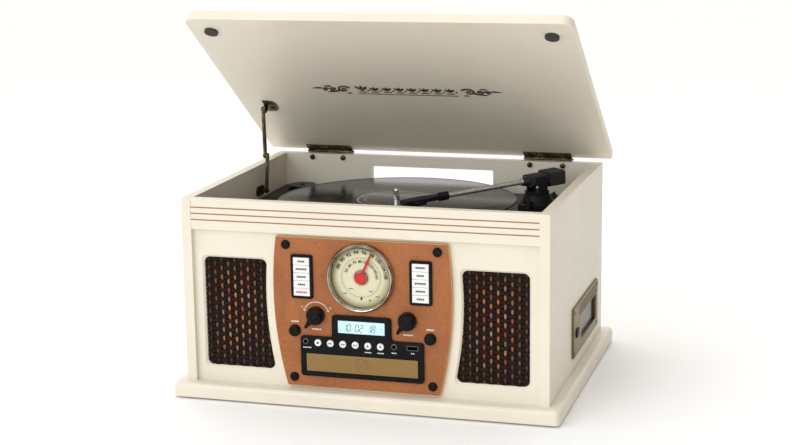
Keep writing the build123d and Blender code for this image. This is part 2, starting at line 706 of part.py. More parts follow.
def platter():
    """Platter with belt ring and spindle."""
    x, y = SPINDLE_X, SPINDLE_Y
    disc = rod_z(PLATTER_R, x, y, (PLATTER_TOP - 4, PLATTER_TOP))
    skirt = tube_z(PLATTER_R, PLATTER_R - 3, x, y, (PLATTER_TOP - 9, PLATTER_TOP - 4))
    ring = tube_z(BELT_RING_R, BELT_RING_R - 3, x, y, (BELT_Z[0] - 1, PLATTER_TOP - 4))
    hub = rod_z(12, x, y, (DECK_TOP + 2, PLATTER_TOP - 4))
    spindle = rod_z(SPINDLE_R, x, y, (DECK_TOP - 23, SPINDLE_TOP))
    spindle = fillet(spindle.faces().sort_by(Axis.Z)[-1].edges(), 2.4)
    return disc + skirt + ring + hub + spindle


def platter_mat():
    return tube_z(PLATTER_R - 2, SPINDLE_R + 0.1, SPINDLE_X, SPINDLE_Y, (PLATTER_TOP, MAT_TOP))


def record():
    """Twelve-inch record, thicker at its rim and label."""
    disc = tube_z(RECORD_R, SPINDLE_R + 0.1, SPINDLE_X, SPINDLE_Y, (MAT_TOP, RECORD_TOP))
    groove = tube_z(RECORD_R - 3.0, 51.5, SPINDLE_X, SPINDLE_Y, (RECORD_TOP - 0.25, RECORD_TOP + 1))
    disc -= groove
    return fillet(disc.edges().filter_by(GeomType.CIRCLE).group_by(SortBy.RADIUS)[-1], 0.5)


# ---------------------------------------------------------------- tonearm


def tonearm_base():
    """Fixed pillar with a stepped foot and the curved lift bar."""
    foot = rod_z(23, ARM_X, ARM_Y, (DECK_TOP, DECK_TOP + 5))
    foot = fillet(foot.faces().sort_by(Axis.Z)[-1].edges(), 2)
    pillar = Pos(ARM_X, ARM_Y, DECK_TOP + 10) * Cone(20, 16.5, 10)
    base = foot + pillar - rod_z(5.06, ARM_X, ARM_Y, (DECK_TOP + 2, DECK_TOP + 20))
    bracket = block((-4, 4), (-30, -14), (-ARM_Z + DECK_TOP, -ARM_Z + DECK_TOP + 8))
    return base + Pos(ARM_X, ARM_Y, ARM_Z) * Rot(0, 0, ARM_HEADING + 120) * bracket


def arm_gimbal():
    """Yoke that swings on the pillar and carries the arm between its ears."""
    z0 = DECK_TOP + 15.3 - ARM_Z
    table = Pos(0, 0, z0 + 2) * Cylinder(15.5, 4)
    ears = block((-6.5, 6.5), (11.3, 14.3), (z0 + 2, 5.5)) + block((-6.5, 6.5), (-14.3, -11.3), (z0 + 2, 5.5))
    ears = fillet(ears.edges().filter_by(Axis.Y).group_by(Axis.Z)[-1], 5.0)
    holes = Rot(90, 0, 0) * Cylinder(1.55, 40)
    shaft = rod_z(5.0, 0, 0, (z0 - 12.8, z0 + 1))
    return arm_pose(table + ears - holes + shaft)


def droop(shape):
    return Rot(0, ARM_DROOP, 0) * shape


def tonearm_tube():
    """Bearing block, its two pins, the tube and the collar at its end."""
    bearing = fillet(block((-11, 15), (-10.6, 10.6), (-7, 7)).edges().filter_by(Axis.X), 3)
    pins = Rot(90, 0, 0) * Cylinder(1.5, 27.6)
    nose = Pos(19.5, 0, 0) * Rot(0, 90, 0) * Cone(7.0, 5.0, 9)
    tube = rod_x(TUBE_R, 0, 0, (TUBE_START, TUBE_END))
    return arm_pose(droop(bearing + nose + tube) + pins)


def counterweight():
    weight = block((-36, -11.1), (-13, 13), (-9.5, 9.0))
    weight = fillet(weight.edges().filter_by(Axis.X), 2.5)
    weight = fillet(weight.faces().sort_by(Axis.X)[0].edges(), 1.5)
    return arm_pose(droop(weight))


def headshell():
    """Headshell with finger lift, cartridge body and stylus."""
    tip = (RECORD_TOP + 0.35) - ARM_Z
    collar = rod_x(5.4, 0, 0, (TUBE_END, TUBE_END + 12))
    points = [(146, -5.2), (172, -9.5), (201, -7.5), (201, 7.5), (172, 9.5), (146, 5.2)]
    shell = extrude(fillet(make_face(Polyline(*points, close=True)).vertices(), 2), 5.0)
    shell = Pos(0, 0, -2.2) * shell
    lift = block((186, 190), (7, 19), (-1.0, 0.6))
    cartridge = block((170, 197), (-6, 6), (-5.4, -2.1))
    holder = block((ARM_LEN - 14, ARM_LEN + 1), (-2.5, 2.5), (tip + 1.6, -10.5))
    stylus = Pos(ARM_LEN - 1, 0, tip + 0.9) * Rot(180, 0, 0) * Cone(0.9, 0.3, 1.8)
    return arm_pose(droop(collar + shell + lift + cartridge) + holder + stylus)


def cue_lever():
    """Lever that raises the arm: a flat arm on a cross pin, beside the pillar."""
    pin = rod_y(2.3, 0, 0, (-4.7, 4.7)) + rod_y(1.2, 0, 0, (-7, 7))
    lever = block((-1.5, 1.5), (-2.5, 2.5), (0, 17))
    knob_end = block((-2.5, 2.5), (-3.5, 3.5), (15, 22))
    shape = pin + lever + knob_end
    return Pos(CUE_X, CUE_Y, CUE_Z) * Rot(0, -28, 0) * fillet(shape.edges().group_by(Axis.Z)[-1], 0.8)


def speed_lever():
    """Sliding selector for the three speeds."""
    stem = block((168, 172), (-97, -93), (DECK_TOP - 5, DECK_TOP + 3))
    cap = block((165, 175), (-99, -91), (DECK_TOP + 0.3, DECK_TOP + 5))
    return stem + fillet(cap.faces().sort_by(Axis.Z)[-1].edges(), 1.2)


# ---------------------------------------------------------------- lid and hardware


def lid_panel():
    half = BODY_W / 2 + LID_SIDE_LIP
    lid = block((-half, half), (FRONT - LID_FRONT_LIP, BACK), (LID_BOTTOM, LID_BOTTOM + LID_T))
    uprights = lid.edges().filter_by(Axis.Z).sort_by(Axis.Y)
    lid = fillet(uprights[:2], 13.0)
    uprights = lid.edges().filter_by(Axis.Z).sort_by(Axis.Y)
    lid = fillet(uprights[-2:], 5.0)
    lid = fillet(lid.faces().sort_by(Axis.Z)[-1].edges(), 4.0)
    lid = fillet(lid.faces().sort_by(Axis.Z)[0].edges(), 1.2)
    return lid_pose(lid)


def lid_bumpers():
    spots = [(-BUMPER_X, BUMPER_Y), (BUMPER_X, BUMPER_Y)]
    pads = [rod_z(BUMPER_R, x, y, (BODY_TOP + 0.2, LID_BOTTOM)) for x, y in spots]
    return lid_pose(group(pads))


def knuckle_spans(own):
    """X ranges of one leaf's knuckles, counted from the hinge's left end."""
    step = HINGE_LEN / KNUCKLES
    return [(k * step + 0.15, (k + 1) * step - 0.15) for k in range(own, KNUCKLES, 2)]


def hinge_leaf(left, spans, leaf, web_end):
    """A leaf with its rolled knuckles; web_end gives each knuckle's link to the leaf."""
    shape = leaf
    for low, high in spans:
        shape += rod_x(HINGE_R, HINGE_Y, HINGE_Z, (left + low, left + high))
        shape += block((left + low, left + high), *web_end)
    return shape - rod_x(HINGE_PIN_R + 0.06, HINGE_Y, HINGE_Z, (left - 5, left + HINGE_LEN + 5))


def wall_hinge_leaves():
    """Lower leaves on the back wall, with their pins and the bolts through the wall."""
    parts = []
    for middle in (-HINGE_X, HINGE_X):
        left = middle - HINGE_LEN / 2
        leaf = block((left, left + HINGE_LEN), (BACK, BACK + LEAF_T), (BODY_TOP - 18, HINGE_Z - 2.9))
        web = ((BACK, BACK + LEAF_T), (HINGE_Z - 3.5, HINGE_Z))
        parts.append(hinge_leaf(left, knuckle_spans(0), leaf, web))
        parts.append(rod_x(HINGE_PIN_R, HINGE_Y, HINGE_Z, (left - 1.5, left + HINGE_LEN + 1.5)))
        for x in (middle - 22, middle + 22):
            parts.append(rod_y(3.4, x, BODY_TOP - 4.5, (INNER_BACK - 2.2, INNER_BACK)))
    return group(parts)


def lid_hinge_leaves():
    """Upper leaves, screwed under the lid."""
    parts = []
    for middle in (-HINGE_X, HINGE_X):
        left = middle - HINGE_LEN / 2
        top = (LID_BOTTOM - LEAF_T, LID_BOTTOM)
        leaf = block((left, left + HINGE_LEN), (BACK - 14, HINGE_Y - 2.85), top)
        web = ((HINGE_Y - 3.2, HINGE_Y), (HINGE_Z + 0.3, LID_BOTTOM))
        parts.append(hinge_leaf(left, knuckle_spans(1), leaf, web))
    return lid_pose(group(parts))


def stay_points():
    """Foot, top and elbow of the stay in Y and Z, with the lid open."""
    angle = radians(LID_ANGLE)
    dy, dz = BACK - STAY_TOP_S - HINGE_Y, LID_BOTTOM - STAY_TOP_DROP - HINGE_Z
    top_y = HINGE_Y + dy * cos(angle) + dz * sin(angle)
    top_z = HINGE_Z - dy * sin(angle) + dz * cos(angle)
    foot = (STAY_FOOT_Y, STAY_FOOT_Z)
    span = hypot(top_y - foot[0], top_z - foot[1])
    along = (STAY_LOWER**2 - STAY_UPPER**2 + span**2) / (2 * span)
    aside = (STAY_LOWER**2 - along**2) ** 0.5
    unit = ((top_y - foot[0]) / span, (top_z - foot[1]) / span)
    elbow_y = foot[0] + along * unit[0] + aside * unit[1]
    elbow_z = foot[1] + along * unit[1] - aside * unit[0]
    return foot, (top_y, top_z), (elbow_y, elbow_z)


def link(start, end, x_range, width):
    """A flat bar with round ends between two points given in Y and Z."""
    length = hypot(end[0] - start[0], end[1] - start[1])
    angle = degrees(atan2(end[1] - start[1], end[0] - start[0]))
    bar = Pos(length / 2, 0) * SlotCenterToCenter(length, width)
    return side_slab(Pos(*start) * Rot(0, 0, angle) * bar, x_range)


def stay_wall_bracket():
    """Oval plate on the left wall with the lower pivot pin."""
    foot, _, _ = stay_points()
    plate_x = (-INNER_X, -INNER_X + 2)
    plate = side_slab(Pos(foot[0] - 4, foot[1]) * SlotCenterToCenter(14, 13), plate_x)
    pin = rod_x(2.0, foot[0], foot[1], (-INNER_X + 2, STAY_X + STAY_T + 1.9))
    screw = rod_x(3.0, foot[0] - 12, foot[1], (-INNER_X + 2, -INNER_X + 3.4))
    return plate + pin + screw


def stay_lower_link():
    foot, _, elbow = stay_points()
    bar = link(foot, elbow, (STAY_X, STAY_X + STAY_T), STAY_W)
    return bar - rod_x(2.06, foot[0], foot[1], (STAY_X - 1, STAY_X + STAY_T + 1))


def stay_upper_link():
    """Upper bar with its folded stop flange and the elbow stud head."""
    _, top, elbow = stay_points()
    x0 = STAY_X - STAY_T - 0.35
    bar = link(top, elbow, (x0, x0 + STAY_T), STAY_W)
    bar -= rod_x(2.06, top[0], top[1], (x0 - 3, x0 + STAY_T + 1))
    return bar + rod_x(2.6, elbow[0], elbow[1], (x0 - 1.2, x0 + 0.1))


def stay_lid_bracket():
    """Leaf-shaped plate under the lid with an ear that holds the upper pivot pin."""
    y, z = BACK - STAY_TOP_S, LID_BOTTOM - STAY_TOP_DROP
    x0, x1 = STAY_X, STAY_X + STAY_T
    plate = block((x0, x1 + 14), (y - 14, y + 14), (LID_BOTTOM - 1.5, LID_BOTTOM))
    plate = fillet(plate.edges().filter_by(Axis.Z).sort_by(Axis.X)[-2:], 9)
    ear = block((x0, x1), (y - 5, y + 5), (z, LID_BOTTOM)) + rod_x(5, y, z, (x0, x1))
    pin = rod_x(2.0, y, z, (x0 - STAY_T - 1.6, x1))
    screws = [rod_z(3, x1 + 7, y + dy, (LID_BOTTOM - 2.6, LID_BOTTOM - 1.5)) for dy in (-6, 6)]
    return lid_pose(plate + ear + pin + screws)


def all_parts():
    parts = {
        "plinth": plinth(),
        "rubber_feet": rubber_feet(),
        "side_panel_left": side_panel(-1),
        "side_panel_right": side_panel(1),
        "back_panel": back_panel(),
        "top_rail": top_rail(),
        "front_baffle": front_baffle(),
        "speaker_grilles": speaker_grilles(),
        "speaker_drivers": speaker_drivers(),
        "fascia_panel": fascia_panel(),
        "fascia_studs": fascia_studs(),
        "media_panel": group([media_panel(), front_sockets(), display_module()]),
        "key_bezels": key_bezels(),
        "volume_knob": knob(-1),
        "tuning_knob": knob(1),
        "tuning_dial": tuning_dial(),
        "dial_pointer": dial_pointer(),
        "power_button": push_button(-1),
        "eject_button": push_button(1),
        "drawer_chassis": drawer_chassis(),
        "disc_drawer": disc_drawer(),
        "cassette_bezel": cassette_bezel(),
        "cassette_mechanism": cassette_mechanism(),
        "cassette_flap": cassette_flap(),
        "cassette_key": cassette_key(),
        "circuit_boards": circuit_boards(),
        "rear_terminals": rear_terminals(),
        "deck_plate": group([deck_plate(), single_adapter(), arm_rest_post(), cue_lever_lugs()]),
        "belt_drive": group([drive_motor(), drive_belt()]),
        "motor_pulley": motor_pulley(),
        "platter": group([platter(), platter_mat()]),
        "record": record(),
        "tonearm_base": tonearm_base(),
        "arm_gimbal": arm_gimbal(),
        "tonearm_tube": group([tonearm_tube(), counterweight()]),
        "headshell": headshell(),
        "cue_lever": cue_lever(),
        "speed_lever": speed_lever(),
        "lid_panel": lid_panel(),
        "lid_bumpers": lid_bumpers(),
        "wall_hardware": group([wall_hinge_leaves(), stay_wall_bracket()]),
        "lid_hardware": group([lid_hinge_leaves(), stay_lid_bracket()]),
        "stay_lower_link": stay_lower_link(),
        "stay_upper_link": stay_upper_link(),
    }
    for side, names in ((-1, KEY_NAMES_LEFT), (1, KEY_NAMES_RIGHT)):
        for row, name in enumerate(names):
            parts[f"{name}_key"] = bank_key(side, row)
    for index, name in enumerate(ROUND_KEY_NAMES):
        parts[f"{name}_key"] = round_key(index)
    return parts


os.makedirs("parts", exist_ok=True)
for part_name, part_shape in all_parts().items():
    export_step(part_shape, f"parts/{part_name}.step")
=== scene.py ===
"""Looks for the cabinet record player: finishes for the CAD nodes, and the detailed pieces on them."""

import json
from math import cos, exp, hypot, pi, radians, sin

import bmesh
import bpy
from mathutils import Matrix, Vector


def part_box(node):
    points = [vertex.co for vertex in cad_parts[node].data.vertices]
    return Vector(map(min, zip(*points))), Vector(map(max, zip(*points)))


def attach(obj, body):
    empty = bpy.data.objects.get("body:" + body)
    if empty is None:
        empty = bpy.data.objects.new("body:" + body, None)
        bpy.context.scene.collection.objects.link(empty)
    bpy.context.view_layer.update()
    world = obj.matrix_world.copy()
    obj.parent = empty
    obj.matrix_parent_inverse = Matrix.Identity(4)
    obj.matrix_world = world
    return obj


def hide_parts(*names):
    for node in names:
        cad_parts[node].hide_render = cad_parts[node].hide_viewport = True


MM = 0.001
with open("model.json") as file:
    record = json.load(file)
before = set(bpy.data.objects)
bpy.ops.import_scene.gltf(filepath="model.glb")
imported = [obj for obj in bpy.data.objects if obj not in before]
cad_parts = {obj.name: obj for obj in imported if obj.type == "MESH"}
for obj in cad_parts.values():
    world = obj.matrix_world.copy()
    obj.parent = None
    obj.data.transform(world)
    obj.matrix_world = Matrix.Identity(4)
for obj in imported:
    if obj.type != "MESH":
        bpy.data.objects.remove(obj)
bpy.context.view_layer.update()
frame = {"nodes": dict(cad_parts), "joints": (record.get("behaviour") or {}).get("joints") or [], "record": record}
nodes = frame["nodes"]


# ---------------------------------------------------------------- places


def joint_pos(name):
    found = [joint for joint in frame["joints"] if joint["name"] == name]
    return Vector(found[0]["pos_m"])


BAFFLE_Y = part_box("front_baffle")[0].y
FASCIA_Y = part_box("fascia_panel")[0].y
PANEL_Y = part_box("media_panel")[0].y
DIAL_LOW, DIAL_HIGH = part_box("tuning_dial")
DIAL = (DIAL_LOW + DIAL_HIGH) / 2
HINGE = joint_pos("lid_hinge")
SPINDLE = joint_pos("platter_spin")
ARM_PIVOT = joint_pos("tonearm_lift")
LID_OPEN = radians(35)
LID_UNDER = 0.249
BACK_PLATE_Y = 0.175
SURROUND_X = 0.228


def on_front(x, y, z, turn=0.0):
    """Drawing plane that faces the user: X to the right, Y up, Z out of the front."""
    facing = Matrix(((1, 0, 0), (0, 0, -1), (0, 1, 0))).to_4x4()
    return Matrix.Translation((x, y, z)) @ facing @ Matrix.Rotation(turn, 4, "Z")


def on_right(x, y, z):
    """Drawing plane on the right side: X to the back, Y up, Z out to the right."""
    facing = Matrix(((0, 0, 1), (1, 0, 0), (0, 1, 0))).to_4x4()
    return Matrix.Translation((x, y, z)) @ facing


def on_back(x, y, z):
    facing = Matrix(((-1, 0, 0), (0, 0, 1), (0, 1, 0))).to_4x4()
    return Matrix.Translation((x, y, z)) @ facing


def under_lid(x, y):
    """Drawing plane on the lid's inner face; y is where the point lies with the lid shut."""
    shut = Matrix.Translation((x, y, LID_UNDER)) @ Matrix.Rotation(pi, 4, "X")
    opening = Matrix.Translation(HINGE) @ Matrix.Rotation(-LID_OPEN, 4, "X")
    return opening @ Matrix.Translation(-HINGE) @ shut


def on_deck(x, y, z, turn=0.0):
    return Matrix.Translation((x, y, z)) @ Matrix.Rotation(turn, 4, "Z")


# ---------------------------------------------------------------- node materials


class Finish:
    """A Principled material and the few node chains that the finishes share."""

    def __init__(self, name, colour, roughness, metallic=0.0, **sockets):
        self.material = bpy.data.materials.new(name)
        self.material.use_nodes = True
        self.tree = self.material.node_tree
        self.shader = self.tree.nodes["Principled BSDF"]
        self.shader.inputs["Base Color"].default_value = (*colour, 1)
        self.shader.inputs["Roughness"].default_value = roughness
        self.shader.inputs["Metallic"].default_value = metallic
        for socket, value in sockets.items():
            self.shader.inputs[socket.replace("_", " ")].default_value = value
        self.position = self.add("ShaderNodeTexCoord").outputs["Object"]
        self.height = None

    def add(self, kind, **settings):
        node = self.tree.nodes.new(kind)
        for key, value in settings.items():
            setattr(node, key, value)
        return node

    def link(self, source, target):
        self.tree.links.new(source, target)

    def math(self, operation, a, b=None, clamp=False):
        node = self.add("ShaderNodeMath", operation=operation, use_clamp=clamp)
        for index, value in enumerate((a, b)):
            if value is None:
                continue
            if isinstance(value, (int, float)):
                node.inputs[index].default_value = value
            else:
                self.link(value, node.inputs[index])
        return node.outputs[0]

    def scaled(self, scale):
        node = self.add("ShaderNodeVectorMath", operation="MULTIPLY")
        node.inputs[1].default_value = scale
        self.link(self.position, node.inputs[0])
        return node.outputs[0]

    def from_point(self, point):
        node = self.add("ShaderNodeVectorMath", operation="SUBTRACT")
        node.inputs[1].default_value = point
        self.link(self.position, node.inputs[0])
        return node.outputs[0]

    def axes(self, vector=None):
        node = self.add("ShaderNodeSeparateXYZ")
        self.link(vector or self.position, node.inputs[0])
        return node.outputs

    def noise(self, scale, detail=4.0, roughness=0.55, stretch=(1, 1, 1), distortion=0.0):
        node = self.add("ShaderNodeTexNoise")
        node.inputs["Scale"].default_value = scale
        node.inputs["Detail"].default_value = detail
        node.inputs["Roughness"].default_value = roughness
        node.inputs["Distortion"].default_value = distortion
        self.link(self.scaled(stretch), node.inputs["Vector"])
        return node.outputs["Fac"]

    def ramp(self, value, stops, constant=False):
        node = self.add("ShaderNodeValToRGB")
        ramp = node.color_ramp
        ramp.interpolation = "CONSTANT" if constant else "LINEAR"
        while len(ramp.elements) < len(stops):
            ramp.elements.new(0.5)
        for element, (place, colour) in zip(ramp.elements, stops):
            element.position = place
            element.color = (*colour, 1)
        self.link(value, node.inputs["Fac"])
        return node.outputs["Color"]

    def blend(self, factor, a, b, mode="MIX"):
        node = self.add("ShaderNodeMix", data_type="RGBA", blend_type=mode)
        for key, value in ((0, factor), (6, a), (7, b)):
            if isinstance(value, (int, float)):
                node.inputs[key].default_value = value
            elif isinstance(value, tuple):
                node.inputs[key].default_value = (*value, 1)
            else:
                self.link(value, node.inputs[key])
        return node.outputs[2]

    def span(self, value, low, high, to_low=0.0, to_high=1.0):
        node = self.add("ShaderNodeMapRange")
        for key, number in zip(("From Min", "From Max", "To Min", "To Max"), (low, high, to_low, to_high)):
            node.inputs[key].default_value = number
        self.link(value, node.inputs["Value"])
        return node.outputs["Result"]

    def colour(self, source):
        self.link(source, self.shader.inputs["Base Color"])

    def rough(self, value, low, high):
        self.link(self.span(value, 0.3, 0.7, low, high), self.shader.inputs["Roughness"])

    def bump(self, value, distance, strength=1.0):
        node = self.add("ShaderNodeBump")
        node.inputs["Strength"].default_value = strength
        node.inputs["Distance"].default_value = distance
        self.link(value, node.inputs["Height"])
        if self.height is not None:
            self.link(self.height, node.inputs["Normal"])
        self.height = node.outputs["Normal"]
        self.link(self.height, self.shader.inputs["Normal"])


def shade(tone, factor):
    return tuple(min(1.0, channel * factor) for channel in tone)


def cream_paint():
    """Satin lacquer sprayed on board: faint mottling, orange peel and handling marks."""
    tone = (0.76, 0.70, 0.585)
    f = Finish("cream_paint", tone, 0.42, Coat_Weight=0.15, Coat_Roughness=0.25)
    cloud = f.noise(5.0, 5.0)
    smudge = f.noise(26.0, 6.0, 0.65, distortion=0.4)
    base = f.ramp(cloud, [(0.35, shade(tone, 0.965)), (0.65, shade(tone, 1.02))])
    warm = f.ramp(smudge, [(0.42, (0.985, 0.98, 0.965)), (0.6, (1, 1, 1))])
    f.colour(f.blend(1.0, base, warm, "MULTIPLY"))
    f.rough(f.noise(60.0, 5.0), 0.36, 0.5)
    f.bump(f.noise(900.0, 2.0), 0.00004, 0.5)
    f.bump(f.noise(90.0, 3.0, stretch=(1, 0.25, 1)), 0.00006, 0.35)
    return f.material


def fascia_leather_brown():
    """Warm red-brown panel with a fine fleck, a soft cloud and a tan bevelled edge."""
    tone = (0.36, 0.125, 0.042)
    f = Finish("fascia_brown", tone, 0.46, Specular_IOR_Level=0.25)
    cloud = f.noise(16.0, 6.0, 0.6, distortion=0.8)
    base = f.ramp(cloud, [(0.33, shade(tone, 0.86)), (0.5, tone), (0.68, shade(tone, 1.13))])
    fleck = f.noise(420.0, 3.0, 0.7)
    specks = f.ramp(fleck, [(0.34, (0.72, 0.68, 0.62)), (0.46, (1, 1, 1))])
    body = f.blend(1.0, base, specks, "MULTIPLY")
    geometry = f.add("ShaderNodeNewGeometry")
    facing = f.math("ABSOLUTE", f.axes(geometry.outputs["Normal"])[1])
    edge = f.span(facing, 0.75, 0.95, 1.0, 0.0)
    f.colour(f.blend(edge, body, (0.55, 0.34, 0.16)))
    f.rough(fleck, 0.38, 0.52)
    f.bump(fleck, 0.00008, 0.35)
    f.bump(cloud, 0.0002, 0.1)
    return f.material


def black_gloss(name="black_gloss", roughness=0.16):
    """Polished black moulding with dust-fine scratches and slight mould ripple."""
    f = Finish(name, (0.006, 0.006, 0.0065), roughness, Specular_IOR_Level=0.12)
    f.rough(f.noise(160.0, 6.0, 0.7, (1, 1, 0.2)), roughness * 0.7, roughness * 1.5)
    cloud = f.noise(45.0, 4.0)
    f.colour(f.ramp(cloud, [(0.35, (0.003, 0.003, 0.0035)), (0.7, (0.006, 0.006, 0.007))]))
    f.bump(f.noise(35.0, 2.0), 0.0002, 0.08)
    return f.material


def black_textured(name="black_matte", tone=(0.009, 0.009, 0.01), roughness=0.5):
    """Spark-eroded black plastic: fine pebble grain and a little greying dust."""
    f = Finish(name, tone, roughness, Specular_IOR_Level=0.15)
    grain = f.noise(1500.0, 2.0, 0.6)
    dust = f.noise(30.0, 5.0, 0.7)
    f.colour(f.ramp(dust, [(0.4, tone), (0.75, shade(tone, 1.6))]))
    f.rough(dust, roughness - 0.07, roughness + 0.07)
    f.bump(grain, 0.00009, 0.5)
    return f.material


def white_plastic():
    tone = (0.80, 0.80, 0.79)
    f = Finish("white_plastic", tone, 0.32, Subsurface_Weight=0.08, Subsurface_Scale=0.002)
    cloud = f.noise(70.0, 4.0)
    f.colour(f.ramp(cloud, [(0.35, shade(tone, 0.95)), (0.65, tone)]))
    f.rough(f.noise(300.0, 3.0), 0.26, 0.4)
    f.bump(f.noise(700.0, 2.0), 0.00003, 0.4)
    return f.material


def antique_bronze():
    """Dark chemically aged plating, rubbed back to warm metal in patches and along strokes."""
    f = Finish("antique_bronze", (0.15, 0.1, 0.05), 0.38, 1.0)
    patch = f.noise(75.0, 7.0, 0.68, distortion=0.6)
    stroke = f.noise(420.0, 4.0, 0.6, (1.0, 0.12, 0.12))
    mixed = f.math("ADD", f.math("MULTIPLY", patch, 0.7), f.math("MULTIPLY", stroke, 0.3))
    stops = [(0.4, (0.03, 0.022, 0.012)), (0.53, (0.10, 0.072, 0.036)), (0.68, (0.38, 0.28, 0.15))]
    f.colour(f.ramp(mixed, stops))
    f.rough(mixed, 0.5, 0.28)
    f.bump(patch, 0.0001, 0.3)
    return f.material


def brushed(name, light, dark, stretch, roughness, fineness=300.0):
    """Metal brushed in one direction, with slow tarnish over it. Unstretched and coarse, as on the dial bezel, the
    light and dark blotches are painted reflections instead.
    """
    f = Finish(name, light, roughness, 1.0)
    stroke = f.noise(fineness, 5.0, 0.7, stretch)
    tarnish = f.noise(18.0, 5.0, 0.6)
    base = f.ramp(stroke, [(0.3, dark), (0.7, light)])
    veil = f.ramp(tarnish, [(0.35, (0.82, 0.80, 0.74)), (0.65, (1, 1, 1))])
    f.colour(f.blend(1.0, base, veil, "MULTIPLY"))
    f.rough(stroke, roughness - 0.08, roughness + 0.1)
    f.bump(stroke, 0.00004, 0.5)
    return f.material


def drawer_gold():
    """Brushed gold on the drawer's front plate, plain black on the tray behind it."""
    f = Finish("drawer_gold", (0.3, 0.19, 0.08), 0.32)
    plate_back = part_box("disc_drawer")[0].y + 0.0051
    _, y, _ = f.axes()
    gold = f.span(y, plate_back - 0.0001, plate_back, 1.0, 0.0)
    stroke = f.noise(3000.0, 5.0, 0.7, (0.01, 1, 1))
    metal = f.ramp(stroke, [(0.3, (0.24, 0.15, 0.06)), (0.7, (0.33, 0.21, 0.085))])
    f.colour(f.blend(gold, (0.012, 0.012, 0.013), metal))
    f.link(gold, f.shader.inputs["Metallic"])
    f.rough(stroke, 0.24, 0.4)
    f.bump(stroke, 0.00003, 0.4)
    return f.material


def chrome():
    f = Finish("chrome", (0.86, 0.85, 0.82), 0.07, 1.0)
    f.rough(f.noise(90.0, 5.0, 0.7), 0.04, 0.12)
    f.bump(f.noise(60.0, 2.0), 0.0001, 0.05)
    return f.material


def rubber():
    f = Finish("rubber", (0.03, 0.03, 0.03), 0.8)
    f.colour(f.ramp(f.noise(120.0, 5.0), [(0.3, (0.018, 0.018, 0.018)), (0.7, (0.05, 0.05, 0.048))]))
    f.bump(f.noise(800.0, 3.0), 0.0001, 0.6)
    return f.material


def circuit_board():
    f = Finish("circuit_board", (0.03, 0.18, 0.09), 0.4)
    traces = f.noise(260.0, 2.0, 0.5, (1, 1, 0.3))
    f.colour(f.ramp(traces, [(0.45, (0.02, 0.13, 0.07)), (0.5, (0.06, 0.3, 0.15))]))
    f.rough(traces, 0.3, 0.5)
    f.bump(traces, 0.0002, 0.5)
    return f.material


def vinyl():
    """Grooved black disc: fine rings, darker gaps between tracks and a plain label."""
    f = Finish("vinyl", (0.012, 0.012, 0.014), 0.1, Anisotropic=0.5, Specular_IOR_Level=0.22)
    x, y, _ = f.axes(f.from_point(tuple(SPINDLE)))
    squares = f.math("ADD", f.math("MULTIPLY", x, x), f.math("MULTIPLY", y, y))
    radius = f.math("SQRT", squares)
    groove = f.math("SINE", f.math("MULTIPLY", radius, 7200.0))
    ring_space = f.add("ShaderNodeCombineXYZ")
    f.link(f.math("MULTIPLY", radius, 90.0), ring_space.inputs[0])
    band_noise = f.add("ShaderNodeTexNoise")
    band_noise.inputs["Scale"].default_value = 1.6
    band_noise.inputs["Detail"].default_value = 5.0
    f.link(ring_space.outputs[0], band_noise.inputs["Vector"])
    tracks = band_noise.outputs["Fac"]
    played = f.ramp(
        tracks, [(0.38, (0.004, 0.004, 0.0045)), (0.55, (0.006, 0.006, 0.007)), (0.7, (0.010, 0.010, 0.012))]
    )
    ink, ring, edge = (0.022, 0.022, 0.026), (0.3, 0.3, 0.3), (0.35, 0.35, 0.34)
    stops = [(0.0, shade(ink, 1.4)), (0.78, ink), (0.8, ring), (0.83, ink), (0.95, ink), (0.97, edge)]
    label_colour = f.ramp(f.span(radius, 0.0, 0.05), stops)
    on_label = f.span(radius, 0.0500, 0.0504, 1.0, 0.0)
    f.colour(f.blend(on_label, played, label_colour))
    in_groove = f.span(radius, 0.0515, 0.0525)
    f.bump(f.math("MULTIPLY", groove, in_groove), 0.00002, 0.15)
    f.rough(f.noise(40.0, 5.0, 0.7), 0.08, 0.13)
    tangent = f.add("ShaderNodeTangent", direction_type="RADIAL", axis="Z")
    f.link(tangent.outputs[0], f.shader.inputs["Tangent"])
    return f.material


def arm_metal():
    """Satin silver tube between black mouldings, told apart by distance along the arm."""
    f = Finish("arm_metal", (0.5, 0.5, 0.5), 0.3)
    tip = (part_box("headshell")[0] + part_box("headshell")[1]) / 2
    along = Vector((tip.x - ARM_PIVOT.x, tip.y - ARM_PIVOT.y, 0)).normalized()
    dot = f.add("ShaderNodeVectorMath", operation="DOT_PRODUCT")
    dot.inputs[1].default_value = along
    f.link(f.from_point(tuple(ARM_PIVOT)), dot.inputs[0])
    reach = dot.outputs["Value"]
    metal = f.math("MULTIPLY", f.span(reach, 0.0239, 0.0241), f.span(reach, 0.2, 0.2001, 1.0, 0.0))
    scratch = f.noise(500.0, 4.0, 0.7, (0.4, 0.4, 1))
    silver = f.ramp(scratch, [(0.3, (0.55, 0.56, 0.58)), (0.7, (0.82, 0.83, 0.86))])
    f.colour(f.blend(metal, (0.018, 0.018, 0.02), silver))
    f.link(f.math("MULTIPLY", metal, 0.9), f.shader.inputs["Metallic"])
    f.rough(scratch, 0.24, 0.4)
    f.bump(f.noise(1200.0, 2.0), 0.00004, 0.3)
    return f.material


def plain(name, tone, roughness, metallic=0.0, **sockets):
    """Small printed or moulded detail: a light mottle on one tone."""
    f = Finish(name, tone, roughness, metallic, **sockets)
    f.colour(f.ramp(f.noise(240.0, 4.0), [(0.35, shade(tone, 0.88)), (0.65, shade(tone, 1.06))]))
    f.rough(f.noise(400.0, 3.0), roughness * 0.85, min(1.0, roughness * 1.15))
    f.bump(f.noise(900.0, 2.0), 0.00003, 0.3)
    return f.material


